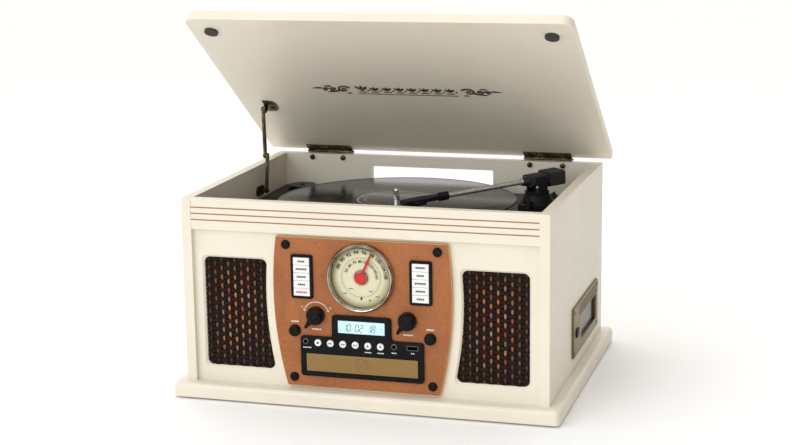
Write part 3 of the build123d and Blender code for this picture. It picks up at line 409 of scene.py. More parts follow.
CREAM = cream_paint()
BROWN = fascia_leather_brown()
GLOSS = black_gloss()
PANEL_BLACK = black_gloss("panel_black", 0.24)
MATTE = black_textured()
DECK = black_textured("deck_black", (0.008, 0.008, 0.009), 0.34)
WHITE = white_plastic()
BRONZE = antique_bronze()
GOLD = drawer_gold()
TRIM_GOLD = brushed("aged_gold", (0.27, 0.225, 0.11), (0.15, 0.12, 0.06), (1, 0.03, 1), 0.4, 1200.0)
STEEL = brushed("zinc_steel", (0.6, 0.6, 0.6), (0.42, 0.42, 0.43), (1, 0.1, 0.1), 0.34)
ALUMINIUM = brushed("satin_aluminium", (0.7, 0.7, 0.72), (0.5, 0.5, 0.52), (1, 1, 0.1), 0.3)
CHROME = chrome()
RUBBER = rubber()
BOARD = circuit_board()
VINYL = vinyl()
ARM = arm_metal()
COPPER = plain("inlay_copper", (0.36, 0.145, 0.055), 0.45)
RED = plain("pointer_red", (0.55, 0.022, 0.022), 0.3, Specular_IOR_Level=0.3)
INK = plain("ink_dark", (0.035, 0.028, 0.022), 0.6)
INK_WHITE = plain("ink_white", (0.85, 0.83, 0.78), 0.55)
INK_RED = plain("ink_red", (0.62, 0.04, 0.03), 0.55)

FINISHES = {
    "cream_paint": CREAM,
    "fascia_brown": BROWN,
    "black_gloss": GLOSS,
    "black_matte": MATTE,
    "white_plastic": WHITE,
    "bronze": BRONZE,
    "gold_trim": GOLD,
    "chrome": CHROME,
    "steel": STEEL,
    "aluminium": ALUMINIUM,
    "rubber": RUBBER,
    "board_green": BOARD,
    "vinyl": VINYL,
    "red_plastic": RED,
}
SPECIAL = {
    "deck_plate": DECK,
    "media_panel": PANEL_BLACK,
    "key_bezels": PANEL_BLACK,
    "cassette_bezel": TRIM_GOLD,
    "tonearm_tube": ARM,
    "cassette_flap": GLOSS,
}
SLOT_OF = {part["node"]: part["material_slot"] for part in frame["record"]["subparts"]}
for node_name, node_object in nodes.items():
    finish = SPECIAL.get(node_name) or FINISHES.get(SLOT_OF[node_name], MATTE)
    for material_slot in node_object.material_slots:
        material_slot.material = finish


# ---------------------------------------------------------------- mesh helpers


def finished(name, mesh, body, material):
    """Puts a mesh into the scene as a piece that rides on a body."""
    piece = bpy.data.objects.new(name, mesh)
    bpy.context.scene.collection.objects.link(piece)
    mesh.materials.append(material)
    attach(piece, body)
    return piece


def smooth(mesh, limit=40.0):
    for polygon in mesh.polygons:
        polygon.use_smooth = True
    mesh.set_sharp_from_angle(angle=radians(limit))


def from_bmesh(name, work, body, material, limit=40.0):
    bmesh.ops.recalc_face_normals(work, faces=work.faces)
    mesh = bpy.data.meshes.new(name)
    work.to_mesh(mesh)
    work.free()
    smooth(mesh, limit)
    return finished(name, mesh, body, material)


def add_plate(work, outline, place, depth, base=0.0):
    """Adds a flat shape to a bmesh: outline in mm on a drawing plane, raised by depth."""
    low = [work.verts.new(place @ Vector((x * MM, y * MM, base * MM))) for x, y in outline]
    high = [work.verts.new(place @ Vector((x * MM, y * MM, (base + depth) * MM))) for x, y in outline]
    work.faces.new(list(reversed(low)))
    work.faces.new(high)
    count = len(outline)
    for i in range(count):
        j = (i + 1) % count
        work.faces.new((low[i], low[j], high[j], high[i]))


def plates(name, outlines, place, depth, body, material, base=0.0):
    work = bmesh.new()
    for outline in outlines:
        add_plate(work, outline, place, depth, base)
    return from_bmesh(name, work, body, material)


def add_lathe(work, profile, place, steps=96, closed=False):
    """Adds a turned shape: profile as (radius, height) in mm about the drawing plane's Z."""
    rings = []
    for radius, height in profile:
        ring = []
        for step in range(steps):
            a = 2 * pi * step / steps
            point = Vector((radius * cos(a) * MM, radius * sin(a) * MM, height * MM))
            ring.append(work.verts.new(place @ point))
        rings.append(ring)
    pairs = list(zip(rings, rings[1:]))
    if closed:
        pairs.append((rings[-1], rings[0]))
    for inner, outer in pairs:
        for i in range(steps):
            j = (i + 1) % steps
            work.faces.new((inner[i], inner[j], outer[j], outer[i]))
    if not closed:
        work.faces.new(rings[0])
        work.faces.new(list(reversed(rings[-1])))


def lathe(name, profile, place, body, material, steps=96, closed=False, limit=40.0):
    work = bmesh.new()
    add_lathe(work, profile, place, steps, closed)
    return from_bmesh(name, work, body, material, limit)


def box_outline(x0, x1, y0, y1):
    return [(x0, y0), (x1, y0), (x1, y1), (x0, y1)]


def circle(radius, x=0.0, y=0.0, steps=32):
    turns = [2 * pi * i / steps for i in range(steps)]
    return [(x + radius * cos(turn), y + radius * sin(turn)) for turn in turns]


def polar(radius, clock):
    """A point on a drawing plane by radius and degrees clockwise from the top."""
    return radius * sin(radians(clock)), radius * cos(radians(clock))


def arc_band(inner, outer, start, end, steps=48):
    angles = [start + (end - start) * i / steps for i in range(steps + 1)]
    return [polar(outer, a) for a in angles] + [polar(inner, a) for a in reversed(angles)]


def tick(inner, outer, clock, width):
    ux, uy = polar(1, clock)
    vx, vy = uy * width / 2, -ux * width / 2
    return [
        (ux * inner + vx, uy * inner + vy),
        (ux * inner - vx, uy * inner - vy),
        (ux * outer - vx, uy * outer - vy),
        (ux * outer + vx, uy * outer + vy),
    ]


def add_number(work, text, size, place, depth=0.06):
    """Adds a raised printed number, centred on the drawing plane."""
    curve = bpy.data.curves.new("number", "FONT")
    curve.body = text
    curve.size = size * MM
    curve.align_x = "CENTER"
    curve.align_y = "CENTER"
    curve.resolution_u = 3
    curve.extrude = depth * MM / 2
    curve.offset = 0.035 * size * MM
    holder = bpy.data.objects.new("number", curve)
    mesh = bpy.data.meshes.new_from_object(holder)
    mesh.transform(place)
    work.from_mesh(mesh)
    bpy.data.meshes.remove(mesh)
    bpy.data.objects.remove(holder)
    bpy.data.curves.remove(curve)


def wire(name, points, radius, place, body, material, taper=None):
    """A round bead along a smooth line drawn in mm on a plane."""
    curve = bpy.data.curves.new(name, "CURVE")
    curve.dimensions = "3D"
    curve.bevel_depth = radius * MM
    curve.bevel_resolution = 3
    curve.use_fill_caps = True
    spline = curve.splines.new("POLY")
    spline.points.add(len(points) - 1)
    for index, (x, y) in enumerate(points):
        spline.points[index].co = (*(place @ Vector((x * MM, y * MM, 0))), 1)
        spline.points[index].radius = 1.0 if taper is None else taper(index / (len(points) - 1))
    holder = bpy.data.objects.new(name, curve)
    mesh = bpy.data.meshes.new_from_object(holder)
    bpy.data.objects.remove(holder)
    bpy.data.curves.remove(curve)
    mesh.name = name
    smooth(mesh, 60)
    return finished(name, mesh, body, material)


# ---------------------------------------------------------------- cabinet front


def rail_inlays():
    """Three copper-brown strips let into the top rail."""
    low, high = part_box("top_rail")
    place = on_front(0, low.y + 0.0009, 0)
    half = high.x / MM - 0.2
    rows = [box_outline(-half, half, 234.65 - 7.5 * k, 236.55 - 7.5 * k) for k in range(3)]
    plates("rail_inlays", rows, place, 0.85, "cabinet", COPPER)


def circle_x(z, a, b, c):
    """X at height z on the larger side of the circle through three (x, z) points."""
    d = 2 * (a[0] * (b[1] - c[1]) + b[0] * (c[1] - a[1]) + c[0] * (a[1] - b[1]))
    squares = [p[0] ** 2 + p[1] ** 2 for p in (a, b, c)]
    ux = (squares[0] * (b[1] - c[1]) + squares[1] * (c[1] - a[1]) + squares[2] * (a[1] - b[1])) / d
    uz = (squares[0] * (c[0] - b[0]) + squares[1] * (a[0] - c[0]) + squares[2] * (b[0] - a[0])) / d
    r = hypot(a[0] - ux, a[1] - uz)
    side = 1 if b[0] > ux else -1
    return ux + side * max(r * r - (z - uz) ** 2, 0) ** 0.5


SPEAKER_TOP, SPEAKER_LOW, SPEAKER_OUT = 174.4, 39.4, 200.0
COLUMN, ROW = 8.4, 5.5


def speaker_inner(z):
    return circle_x(z, (119.6, 174.4), (121.6, 128.0), (111.4, 39.4))


def cloth_material(name, flecks):
    """Braided yarn: dark strands, and for the warp one colour per crossing, brightest in the middle."""
    f = Finish(name, (0.03, 0.02, 0.016), 0.85, Specular_IOR_Level=0.12)
    strand = f.noise(900.0, 3.0, 0.7, (1, 1, 0.25))
    dark = f.ramp(strand, [(0.3, (0.006, 0.004, 0.0035)), (0.7, (0.028, 0.017, 0.012))])
    if not flecks:
        f.colour(dark)
    else:
        x, _, z = f.axes()
        from_edge = f.math("SUBTRACT", SPEAKER_OUT * MM, f.math("ABSOLUTE", x))
        column = f.math("FLOOR", f.math("DIVIDE", from_edge, COLUMN * MM))
        up = f.math("SUBTRACT", z, (SPEAKER_LOW - ROW / 2) * MM)
        row = f.math("FLOOR", f.math("DIVIDE", up, ROW * MM))
        cell = f.add("ShaderNodeCombineXYZ")
        f.link(column, cell.inputs[0])
        f.link(f.math("SIGN", x), cell.inputs[1])
        f.link(row, cell.inputs[2])
        dice = f.add("ShaderNodeTexWhiteNoise", noise_dimensions="3D")
        f.link(cell.outputs[0], dice.inputs["Vector"])
        tones = [
            (0.0, (0.42, 0.13, 0.045)),
            (0.3, (0.48, 0.19, 0.085)),
            (0.5, (0.32, 0.045, 0.045)),
            (0.62, (0.36, 0.21, 0.13)),
            (0.76, (0.34, 0.09, 0.13)),
            (0.86, (0.2, 0.13, 0.05)),
            (0.94, (0.1, 0.06, 0.09)),
        ]
        yarn = f.ramp(dice.outputs["Value"], tones, constant=True)
        off_x = f.math("ABSOLUTE", f.math("SUBTRACT", f.math("ABSOLUTE", x), 0.158))
        off_z = f.math("ABSOLUTE", f.math("SUBTRACT", z, 0.108))
        centre_x = f.span(off_x, 0.014, 0.034, 1.0, 0.16)
        centre_z = f.span(off_z, 0.035, 0.062, 1.0, 0.22)
        strength = f.math("MULTIPLY", centre_x, centre_z)
        f.colour(f.blend(strength, (0.04, 0.026, 0.02), yarn))
    f.bump(strand, 0.0003, 0.8)
    return f.material


def ribbon(work, line, across, width, crown, out):
    """Adds one yarn: a crowned strip along a line of points, widest in the middle."""
    columns = 5
    previous = None
    for point in line:
        ring = []
        for k in range(columns):
            u = 2 * k / (columns - 1) - 1
            ring.append(work.verts.new(point + across * (u * width / 2) + out * (crown * (1 - u * u))))
        if previous is not None:
            for k in range(columns - 1):
                work.faces.new((previous[k], previous[k + 1], ring[k + 1], ring[k]))
        previous = ring


def speaker_cloth(side, name):
    """Plain weave of narrow coloured warp and wide dark weft, over a dark backing."""
    y0 = BAFFLE_Y / MM + 5.0
    out = Vector((0, -1, 0)) * MM
    warp, weft = bmesh.new(), bmesh.new()
    columns = int((SPEAKER_OUT - 110) / COLUMN) + 1
    rows = int((SPEAKER_TOP - SPEAKER_LOW) / ROW) + 1
    for i in range(columns):
        x = SPEAKER_OUT - COLUMN * (i + 0.5)
        line = []
        for step in range(rows * 6 + 1):
            z = SPEAKER_LOW - 1 + step * ROW / 6
            if z > SPEAKER_TOP + 1 or x + 3 < speaker_inner(z):
                continue
            wave = 1.0 * cos(pi * ((z - SPEAKER_LOW) / ROW + i))
            line.append(Vector((side * x, y0 - wave, z)) * MM)
        ribbon(warp, line, Vector((side, 0, 0)) * MM, 2.5, 0.5, out)
    for j in range(rows):
        z = SPEAKER_LOW + ROW * j
        line = []
        for step in range(columns * 8 + 1):
            x = SPEAKER_OUT + 1 - step * COLUMN / 8
            if x < speaker_inner(z) - 1.5:
                continue
            wave = -1.25 * cos(pi * ((SPEAKER_OUT - x) / COLUMN - 0.5 + j))
            line.append(Vector((side * x, y0 - wave, z)) * MM)
        ribbon(weft, line, Vector((0, 0, 1)) * MM, ROW - 0.7, 1.0, out)
    from_bmesh(f"{name}_warp", warp, "cabinet", CLOTH_FLECK, 80)
    return from_bmesh(f"{name}_weft", weft, "cabinet", CLOTH_DARK, 80)


def speaker_backing():
    """Dark board right behind the cloth, inside each opening."""
    work = bmesh.new()
    place = on_front(0, BAFFLE_Y + 0.0118, 0)
    for side in (-1, 1):
        inner = [(side * speaker_inner(z), z) for z in range(40, 175, 9)]
        outline = [(side * SPEAKER_OUT, SPEAKER_LOW), *inner, (side * SPEAKER_OUT, SPEAKER_TOP)]
        add_plate(work, outline, place, 3.5)
    return from_bmesh("speaker_backing", work, "cabinet", CLOTH_DARK)


CLOTH_DARK = cloth_material("cloth_weft", False)
CLOTH_FLECK = cloth_material("cloth_warp", True)


# ---------------------------------------------------------------- radio dial


DIAL_START, DIAL_SWEEP = -120.0, 240.0


def dial_plate_material():
    f = Finish("dial_card_painted_rim_shade", (0.74, 0.70, 0.50), 0.5)
    age = f.noise(38.0, 5.0, 0.65)
    spread = f.from_point(tuple(DIAL))
    length = f.add("ShaderNodeVectorMath", operation="LENGTH")
    f.link(spread, length.inputs[0])
    # Darker from about 28 mm out and nearly black at the rim: painted shade where the bezel's lip overhangs the
    # card. The noise veil over it is ageing.
    stops = [
        (0.0, (0.72, 0.68, 0.50)),
        (0.75, (0.66, 0.61, 0.41)),
        (0.92, (0.40, 0.35, 0.2)),
        (1.0, (0.16, 0.13, 0.06)),
    ]
    base = f.ramp(f.span(length.outputs["Value"], 0.0, 0.037), stops)
    veil = f.ramp(age, [(0.3, (0.94, 0.92, 0.86)), (0.65, (1, 1, 1))])
    f.colour(f.blend(1.0, base, veil, "MULTIPLY"))
    f.rough(age, 0.42, 0.56)
    f.bump(f.noise(700.0, 3.0), 0.00004, 0.4)
    return f.material


def lens_material():
    f = Finish("clear_lens", (0.95, 0.97, 0.95), 0.03, Transmission_Weight=1.0, IOR=1.2, Alpha=0.25)
    f.rough(f.noise(60.0, 5.0), 0.02, 0.06)
    f.bump(f.noise(40.0, 2.0), 0.0001, 0.03)
    return f.material


def dial_marks():
    """Scale rings, ticks and numbers, the hub's dark collar and small dashes at the foot."""
    work = bmesh.new()
    place = on_front(0, FASCIA_Y, DIAL.z)
    add_plate(work, arc_band(23.4, 23.75, -179, 179), place, 0.08)
    for k in range(41):
        clock = DIAL_START + DIAL_SWEEP * k / 40
        add_plate(work, tick(34.0, 35.4, clock, 0.4), place, 0.08)
        if k % 2 == 0:
            add_plate(work, tick(23.5, 24.8, clock, 0.35), place, 0.08)
    outer_numbers = ("88", "90", "92", "94", "96", "98", "100", "104", "108")
    inner_numbers = ("53", "60", "70", "80", "100", "120", "140", "160")
    for numbers, radius, size in ((outer_numbers, 30.2, 6.2), (inner_numbers, 19.2, 5.0)):
        for k, text in enumerate(numbers):
            clock = -66 + 148 * k / (len(numbers) - 1)
            x, z = polar(radius, clock)
            turned = on_front(x * MM, FASCIA_Y, DIAL.z + z * MM, -radians(clock))
            add_number(work, text, size, turned)
    add_plate(work, [(-1.6, -25.2), (0, -22.4), (1.6, -25.2), (0, -28.0)], place, 0.08)
    add_plate(work, circle(1.2, 10.5, -27.0, 12), place, 0.08)
    for x, z in ((-13, -14), (12, -16), (-20, -20), (20, -22)):
        add_plate(work, box_outline(x - 2.4, x + 2.4, z - 0.5, z + 0.5), place, 0.08)
    add_plate(work, arc_band(7.5, 8.7, -179, 179), place, 0.1)
    add_plate(work, arc_band(9.7, 10.0, -179, 179), place, 0.08)
    return from_bmesh("dial_marks", work, "cabinet", INK)


def dial_assembly():
    """Plated bezel with painted reflections, printed card with painted shade at its rim, and clear lens in place
    of the plain dial solids.
    """
    place = on_front(0, 0, DIAL.z)
    back, front = -(FASCIA_Y / MM), -(DIAL_LOW.y / MM)
    ring = [
        (41.6, back),
        (41.6, back + 2.6),
        (41.2, back + 4.6),
        (40.2, back + 6.6),
        (39.0, front),
        (37.9, front - 0.5),
        (37.5, front - 1.4),
        (37.2, front - 1.8),
        (36.9, front - 1.2),
        (36.5, front - 1.5),
        (36.3, front - 2.6),
        (36.3, back),
    ]
    # The bezel's coarse light and dark blotches are painted reflections of bright and dark surroundings on the
    # plating, not brushing or tarnish.
    plating = brushed("bezel_plating_painted_reflections", (0.72, 0.69, 0.62), (0.16, 0.13, 0.1), (1, 1, 1), 0.12, 40.0)
    bezel = lathe("dial_bezel", ring, place, "cabinet", plating, 128, closed=True)
    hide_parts("tuning_dial")
    card = [(36.4, back - 2.8), (36.4, back - 0.05), (2.2, back - 0.05), (2.2, back - 2.8)]
    lathe("dial_card_painted_rim_shade", card, place, "cabinet", dial_plate_material(), 96, closed=True)
    lens = [(36.2, front - 3.0)]
    lens += [(36.2 * (1 - k / 8), front - 2.2 + 1.1 * (1 - (1 - k / 8) ** 2)) for k in range(8)]
    lens.append((0.01, front - 1.1))
    surface = lathe("dial_lens", lens, place, "cabinet", lens_material(), 96, limit=60)
    surface.visible_shadow = False
    dial_marks()


# ---------------------------------------------------------------- display and control panel


SEGMENTS = {
    "0": "abcdef",
    "1": "bc",
    "2": "abged",
    "3": "abgcd",
    "4": "fgbc",
    "5": "afgcd",
    "6": "afgedc",
    "7": "abc",
    "8": "abcdefg",
    "9": "abcdfg",
}


def digit_outlines(char, x, z, width, height):
    """Seven-segment bars of one digit, leaning slightly, with its lower left corner at x, z."""
    half = height / 2
    bar = 0.85
    rows = {"a": height, "g": half, "d": 0.0}
    columns = {"f": (0, half), "b": (width, half), "e": (0, 0), "c": (width, 0)}
    lean = 0.12
    outlines = []
    for segment in SEGMENTS[char]:
        if segment in rows:
            v = rows[segment]
            outline = box_outline(bar * 0.6, width - bar * 0.6, v - bar / 2, v + bar / 2)
        else:
            u, v = columns[segment]
            outline = box_outline(u - bar / 2, u + bar / 2, v + bar * 0.6, v + half - bar * 0.6)
        outlines.append([(x + u + lean * v, z + v) for u, v in outline])
    return outlines


def screen_material():
    """Backlit pale blue-green cell: brighter in the middle, with a fine pixel mesh."""
    f = Finish("display_backlight", (0.50, 0.78, 0.82), 0.35)
    x, _, _ = f.axes()
    lit = f.span(f.math("ABSOLUTE", x), 0.0, 0.029, 1.0, 0.82)
    mesh = f.math("MULTIPLY", f.math("SINE", f.math("MULTIPLY", x, 9000.0)), 0.03)
    level = f.math("ADD", lit, mesh)
    tone = f.ramp(level, [(0.75, (0.40, 0.62, 0.65)), (1.0, (0.50, 0.72, 0.74))])
    f.colour(tone)
    f.link(tone, f.shader.inputs["Emission Color"])
    f.shader.inputs["Emission Strength"].default_value = 0.35
    f.bump(f.noise(500.0, 2.0), 0.00002, 0.2)
    return f.material


def display():
    """Lit screen with dark digits, in front of the display glass."""
    place = on_front(0, PANEL_Y + 0.00098, 0)
    outline = box_outline(-28.7, 28.7, 92.7, 107.7)
    plates("display_screen", [outline], place, 0.2, "cabinet", screen_material())
    marks = []
    x = -22.5
    for char in "10 02 18":
        if char == " ":
            x += 4.6
            continue
        marks += digit_outlines(char, x, 95.3, 3.6, 8.4)
        x += 5.2
    marks += [box_outline(-26.3, -25.0, 96.0, 96.8), box_outline(24.2, 25.5, 99.8, 100.6)]
    segments = plain("display_segments", (0.03, 0.07, 0.09), 0.5)
    plates("display_digits", marks, place, 0.06, "cabinet", segments, base=0.2)


def triangle(x, y, size, turn):
    points = [(0, size), (-size * 0.9, -size * 0.75), (size * 0.9, -size * 0.75)]
    c, s = cos(radians(turn)), sin(radians(turn))
    return [(x + u * c - v * s, y + u * s + v * c) for u, v in points]


def transport_icons():
    """Printed symbols on the six round keys."""
    symbols = {
        "stop_key": [box_outline(-1.3, 1.3, -1.3, 1.3)],
        "previous_key": [
            triangle(-1.1, 0, 1.25, 90),
            triangle(1.1, 0, 1.25, 90),
            box_outline(-2.6, -2.2, -1.2, 1.2),
        ],
        "next_key": [
            triangle(-1.1, 0, 1.25, -90),
            triangle(1.1, 0, 1.25, -90),
            box_outline(2.2, 2.6, -1.2, 1.2),
        ],
        "play_key": [
            triangle(-0.9, 0, 1.4, -90),
            box_outline(0.9, 1.4, -1.3, 1.3),
            box_outline(1.9, 2.4, -1.3, 1.3),
        ],
        "folder_up_key": [triangle(0, 0, 1.7, 0)],
        "folder_down_key": [triangle(0, 0, 1.7, 180)],
    }
    for node, outlines in symbols.items():
        low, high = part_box(node)
        place = on_front((low.x + high.x) / 2, low.y + 0.00002, (low.z + high.z) / 2)
        icon, body = node.replace("_key", "_icon"), node.replace("_key", "_push")
        plates(icon, outlines, place, 0.06, body, INK)


def bank_marks():
    """A short printed code of bars on each rectangular key, in place of words."""
    names = ["delete", "repeat", "program", "shuffle", "record", "aux", "phono", "disc", "tape", "radio"]
    for index, name in enumerate(names):
        low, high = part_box(f"{name}_key")
        place = on_front((low.x + high.x) / 2, low.y + 0.00002, (low.z + high.z) / 2)
        count = 4 + (index * 2) % 3
        width = 2.3
        start = -(count * width) / 2
        bars = [
            box_outline(start + k * width + 0.25, start + (k + 1) * width - 0.25, -1.15, 1.15)
            for k in range(count)
        ]
        ink = INK_RED if name == "record" else INK
        plates(f"{name}_mark", bars, place, 0.05, f"{name}_push", ink)


def dash(x, z, half_width, half_height):
    return box_outline(x - half_width, x + half_width, z - half_height, z + half_height)


def panel_marks():
    """White printed marks on the fascia and panel: scale over the volume knob, dashes by controls."""
    on_fascia = on_front(0, FASCIA_Y + 0.00002, 0)
    knob_x, knob_z = -56.5, 111.8
    work = bmesh.new()
    band = [(knob_x + x, knob_z + y) for x, y in arc_band(15.6, 16.3, -62, 62)]
    add_plate(work, band, on_fascia, 0.06)
    for clock in (-66, 66):
        x, y = polar(16.2, clock)
        add_plate(work, triangle(knob_x + x, knob_z + y - 1.0, 1.5, 180), on_fascia, 0.06)
    x, y = polar(19.8, -62)
    add_plate(work, dash(knob_x + x, knob_z + y, 1.2, 0.3), on_fascia, 0.06)
    x, y = polar(19.8, 62)
    add_plate(work, dash(knob_x + x, knob_z + y, 1.2, 0.3), on_fascia, 0.06)
    add_plate(work, dash(knob_x + x, knob_z + y, 0.3, 1.2), on_fascia, 0.06)
    for x, z, count in ((-83.5, 102.5, 4), (83.5, 102.5, 4), (-56.5, 94.5, 5), (56.5, 94.5, 5)):
        for k in range(count):
            left = x + (k - count / 2) * 2.4
            add_plate(work, box_outline(left + 0.35, left + 2.05, z - 0.8, z + 0.8), on_fascia, 0.06)
    on_panel = on_front(0, PANEL_Y + 0.00002, 0)
    for x, z, count in ((-67.5, 72.6, 5), (8.2, 71.2, 4), (23.7, 71.2, 4), (40.2, 72.6, 3), (62.8, 73.6, 2)):
        for k in range(count):
            left = x + (k - count / 2) * 2.1
            add_plate(work, box_outline(left + 0.3, left + 1.8, z - 0.6, z + 0.6), on_panel, 0.06)
    return from_bmesh("printed_marks", work, "cabinet", INK_WHITE)


def socket_trims():
    """Dark rims round the two jacks and a lined mouth for the data socket."""
    work = bmesh.new()
    for x in (-69.2, 40.2):
        place = on_front(x * MM, PANEL_Y, 0.080)
        ring = [(3.5, -0.2), (3.5, 0.25), (3.1, 0.5), (2.5, 0.45), (2.3, 0.1), (2.3, -0.4)]
        add_lathe(work, ring, place, 40, True)
    dark = plain("rim_dark", (0.13, 0.13, 0.13), 0.3, 1.0)
    from_bmesh("jack_rims", work, "cabinet", dark)
    place = on_front(0.0628, PANEL_Y, 0.080)
    rim = [(-6.9, -3.0), (6.9, -3.0), (6.9, 3.0), (-6.9, 3.0)]
    inner = [(x * 0.9, y * 0.78) for x, y in rim]
    sides = []
    for k in range(4):
        sides.append([rim[k], rim[(k + 1) % 4], inner[(k + 1) % 4], inner[k]])
    plates("data_socket_rim", sides, place, 0.2, "cabinet", dark, base=-0.1)


def drawer_emblem():
    """Generic disc outline pressed into the drawer's front."""
    low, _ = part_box("disc_drawer")
    place = on_front(0, low.y + 0.00003, 0.0542)
    rings = [
        arc_band(7.6, 8.0, 0, 350, 60),
        arc_band(2.4, 2.8, 0, 350, 40),
        arc_band(5.2, 5.4, 20, 110, 24),
        arc_band(5.2, 5.4, 200, 290, 24),
    ]
    tone = plain("emblem_gold", (0.12, 0.07, 0.025), 0.3, 1.0)
    plates("drawer_emblem", rings, place, 0.08, "drawer", tone)


# ---------------------------------------------------------------- lid ornament and screws


def spiral(x, y, radius, turns, start, direction, flip):
    """Points of a closing scroll; flip mirrors it left to right."""
    points = []
    for k in range(60):
        t = k / 59
        a = radians(start) + direction * 2 * pi * turns * t
        r = radius * exp(-2.1 * t)
        points.append((flip * (x + r * cos(a)), y + r * sin(a)))
    return points


def lid_ornament():
    """Generic frieze: a row of palmettes over a bar, between two scroll groups."""
    place = under_lid(0, 0.0)
    ink = plain("ornament_ink", (0.06, 0.042, 0.026), 0.5)
    middle = ORNAMENT_Y
    for flip, side in ((-1, "left"), (1, "right")):
        shapes = [
            spiral(82, middle, 10.0, 1.6, 150, -1, flip),
            spiral(95, middle + 1.0, 7.4, 1.5, 200, 1, flip),
            spiral(106, middle - 1.0, 5.0, 1.3, 150, -1, flip),
        ]
        for index, points in enumerate(shapes):
            wire(f"scroll_{side}_{index}", points, 1.5, place, "lid", ink, lambda t: 1.15 - 0.6 * t)
        leaves = []
        sprays = ((96, 7.0, 12, 3.0), (108, 1.0, 17, 3.4), (94, -8.0, 12, 2.8), (73, -11.0, 8, 2.6))
        for x, y, length, height in sprays:
            over = [(t, height * sin(pi * t**0.7)) for t in (0, 0.2, 0.4, 0.6, 0.8, 1)]
            under = [(t, -0.25 * height * sin(pi * t)) for t in (0.8, 0.6, 0.4, 0.2)]
            leaves.append([(flip * (x + length * t), middle + y + rise) for t, rise in over + under])
        plates(f"scroll_leaves_{side}", leaves, place, 0.35, "lid", ink, base=-0.05)
    bars = [box_outline(-66, 66, middle - 12.2, middle - 10.8)]
    for k in range(8):
        x = -57.5 + 16.4 * k
        tall = 15.5 if k == 0 else 11.5
        for lean in (-32, 0, 32):
            c, s = cos(radians(lean)), sin(radians(lean))
            petal = [(0, 0), (2.3, tall * 0.62), (0, tall), (-2.3, tall * 0.62)]
            bars.append([(x + u * c + v * s, middle - 3.5 + v * c - u * s) for u, v in petal])
        bars.append(box_outline(x - 5.2, x + 5.2, middle - 7.4, middle - 5.2))
        bars.append(circle(1.7, x + 8.2, middle - 2.0, 14))
    plates("ornament_bar", bars, place, 0.35, "lid", ink, base=-0.05)


ORNAMENT_Y = 9.0


def add_screw(work, place, radius=3.0, height=1.5):
    """Domed screw head, turned from a profile that closes flat at the crown; no cross recess is cut."""
    profile = [
        (radius, 0.0),
        (radius, 0.25),
        (radius * 0.9, height * 0.55),
        (radius * 0.62, height * 0.88),
        (radius * 0.3, height),
        (0.01, height),
    ]
    add_lathe(work, profile, place, 28)


def plate_screws():
    """Small screws at the corners of the back plate and of the cassette surround."""
    back, side = bmesh.new(), bmesh.new()
    for x in (-4, 124):
        for z in (42, 82):
            add_screw(back, on_back(x * MM, BACK_PLATE_Y, z * MM), 2.2, 0.9)
    for y in (-34, 122):
        for z in (44, 95):
            add_screw(side, on_right(SURROUND_X, y * MM, z * MM), 2.2, 0.9)
    from_bmesh("back_plate_screws", back, "cabinet", STEEL)
    from_bmesh("surround_screws", side, "cabinet", TRIM_GOLD)


def line_out_rings():
    """Coloured collars round the two line-out sockets, one red and one white."""
    for x, name, ink in ((20, "right", INK_RED), (40, "left", INK_WHITE)):
        ring = [(4.3, 0.2), (6.0, 0.2), (6.0, 1.2), (5.6, 1.5), (4.3, 1.5)]
        place = on_back(x * MM, BACK_PLATE_Y, 0.062)
        lathe(f"line_out_{name}", ring, place, "cabinet", ink, 40, closed=True)


def screws():
    """Domed heads on the inside of the back wall and on the lid's hinge leaves."""
    wall, lid = bmesh.new(), bmesh.new()
    inner_back = 0.161
    for middle in (-152, 152):
        for dx in (-22, 22):
            add_screw(wall, on_front((middle + dx) * MM, inner_back - 0.0022, 0.2415), 3.3, 1.2)
        for dx in (-24, 0, 24):
            place = under_lid((middle + dx) * MM, 0.1655) @ Matrix.Translation((0, 0, 0.0012))
            add_screw(lid, place, 2.4, 0.9)
    from_bmesh("wall_bolt_heads", wall, "cabinet", BRONZE)
    from_bmesh("leaf_screw_heads", lid, "lid", BRONZE)


# ---------------------------------------------------------------- deck details


def spindle_cap():
    """Chromed tip of the record spindle."""
    place = on_deck(SPINDLE.x, SPINDLE.y, 0)
    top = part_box("platter")[1].z / MM
    profile = [
        (3.62, 220.2),
        (3.62, top - 3.2),
        (3.3, top - 1.6),
        (2.3, top - 0.5),
        (1.0, top - 0.05),
        (0.01, top),
    ]
    return lathe("spindle_sleeve", profile, place, "turntable", CHROME, 48)


def deck_marks():
    """White printed strokes by the speed selector and the arm lever, and speed numbers."""
    work = bmesh.new()
    z = 0.20202
    for k, text in enumerate(("33", "45", "78")):
        add_number(work, text, 5.0, on_deck(0.158, -0.107 + 0.012 * k, z))
    for dy in (-12, 0, 12):
        add_plate(work, box_outline(162.0, 164.2, -95.3 + dy, -94.7 + dy), on_deck(0, 0, z), 0.06)
    for x, y in ((196, 58), (196, 74)):
        add_plate(work, triangle(x, y, 1.6, 0 if y > 66 else 180), on_deck(0, 0, z), 0.06)
    return from_bmesh("deck_marks", work, "cabinet", INK_WHITE)


rail_inlays()
speaker_backing()
for cloth_side, cloth_name in ((-1, "cloth_left"), (1, "cloth_right")):
    cloth = speaker_cloth(cloth_side, cloth_name)
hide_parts("speaker_grilles")
dial_assembly()
display()
transport_icons()
bank_marks()
panel_marks()
socket_trims()
drawer_emblem()
lid_ornament()
screws()
plate_screws()
line_out_rings()
spindle_cap()
deck_marks()


# ---------------------------------------------------------------- stage, light and camera


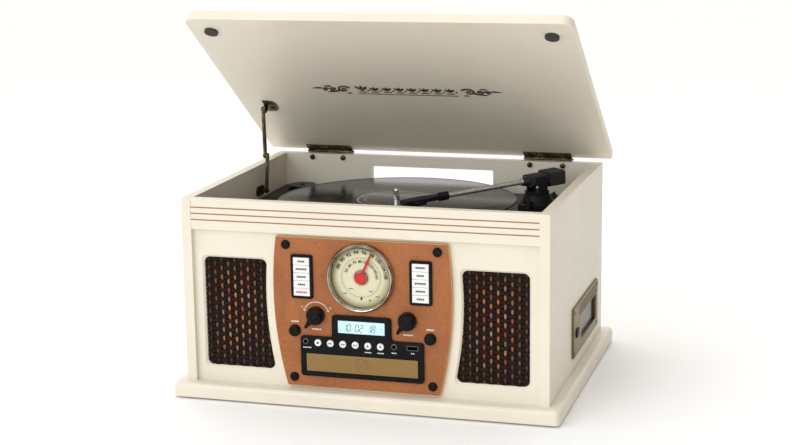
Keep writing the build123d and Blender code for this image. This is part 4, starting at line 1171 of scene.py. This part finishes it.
def studio():
    """Pale floor, a bright plain surround and soft area lights."""
    mesh = bpy.data.meshes.new("floor")
    size = 14.0
    corners = [(-size, -size, 0), (size, -size, 0), (size, size, 0), (-size, size, 0)]
    mesh.from_pydata(corners, [], [(0, 1, 2, 3)])
    floor = bpy.data.objects.new("floor", mesh)
    bpy.context.scene.collection.objects.link(floor)
    sheet = Finish("floor_white", (0.93, 0.93, 0.93), 0.7)
    cloud = sheet.noise(3.0, 3.0)
    sheet.colour(sheet.ramp(cloud, [(0.3, (0.92, 0.92, 0.92)), (0.7, (0.94, 0.94, 0.94))]))
    sheet.rough(cloud, 0.65, 0.75)
    mesh.materials.append(sheet.material)
    world = bpy.data.worlds.new("studio")
    bpy.context.scene.world = world
    world.use_nodes = True
    background = world.node_tree.nodes["Background"]
    background.inputs["Color"].default_value = (1.0, 0.98, 0.95, 1)
    tree = world.node_tree
    heading = tree.nodes.new("ShaderNodeTexCoord")
    split = tree.nodes.new("ShaderNodeSeparateXYZ")
    span = tree.nodes.new("ShaderNodeMapRange")
    span.inputs["From Min"].default_value = 0.1
    span.inputs["From Max"].default_value = 0.8
    span.inputs["To Min"].default_value = 1.3
    span.inputs["To Max"].default_value = 0.3
    tree.links.new(heading.outputs["Generated"], split.inputs[0])
    tree.links.new(split.outputs["X"], span.inputs["Value"])
    tree.links.new(span.outputs[0], background.inputs["Strength"])
    bpy.context.scene.view_settings.view_transform = "Standard"
    lights = [
        ("key", (-1.2, -2.6, 1.5), 1.4, 17.0, (0.72, 0.87, 1.0)),
        ("top", (0.0, 0.2, 2.6), 1.2, 6.0, (1.0, 0.99, 0.96)),
        ("low", (0.2, -2.4, 0.35), 1.2, 5.0, (1.0, 0.95, 0.88)),
    ]
    for name, place, size, power, colour in lights:
        data = bpy.data.lights.new(name, "AREA")
        data.size = size
        data.energy = power
        data.color = colour
        lamp = bpy.data.objects.new(name, data)
        lamp.location = place
        aim = Vector((0, 0, 0.18)) - Vector(place)
        lamp.rotation_euler = aim.to_track_quat("-Z", "Y").to_euler()
        bpy.context.scene.collection.objects.link(lamp)


def camera():
    yaw, pitch, roll = radians(-16.67), radians(12.04), radians(-0.84)
    forward = Vector((sin(yaw) * cos(pitch), cos(yaw) * cos(pitch), -sin(pitch)))
    right = Vector((cos(yaw), -sin(yaw), 0))
    up = right.cross(forward)
    right2 = cos(roll) * right + sin(roll) * up
    up2 = -sin(roll) * right + cos(roll) * up
    data = bpy.data.cameras.new("camera")
    data.lens = 76.6
    data.sensor_width = 36
    holder = bpy.data.objects.new("camera", data)
    turn = Matrix((right2, up2, -forward)).transposed().to_4x4()
    holder.matrix_world = Matrix.Translation((0.589, -1.993, 0.634)) @ turn
    bpy.context.scene.collection.objects.link(holder)
    bpy.context.scene.camera = holder


studio()
camera()
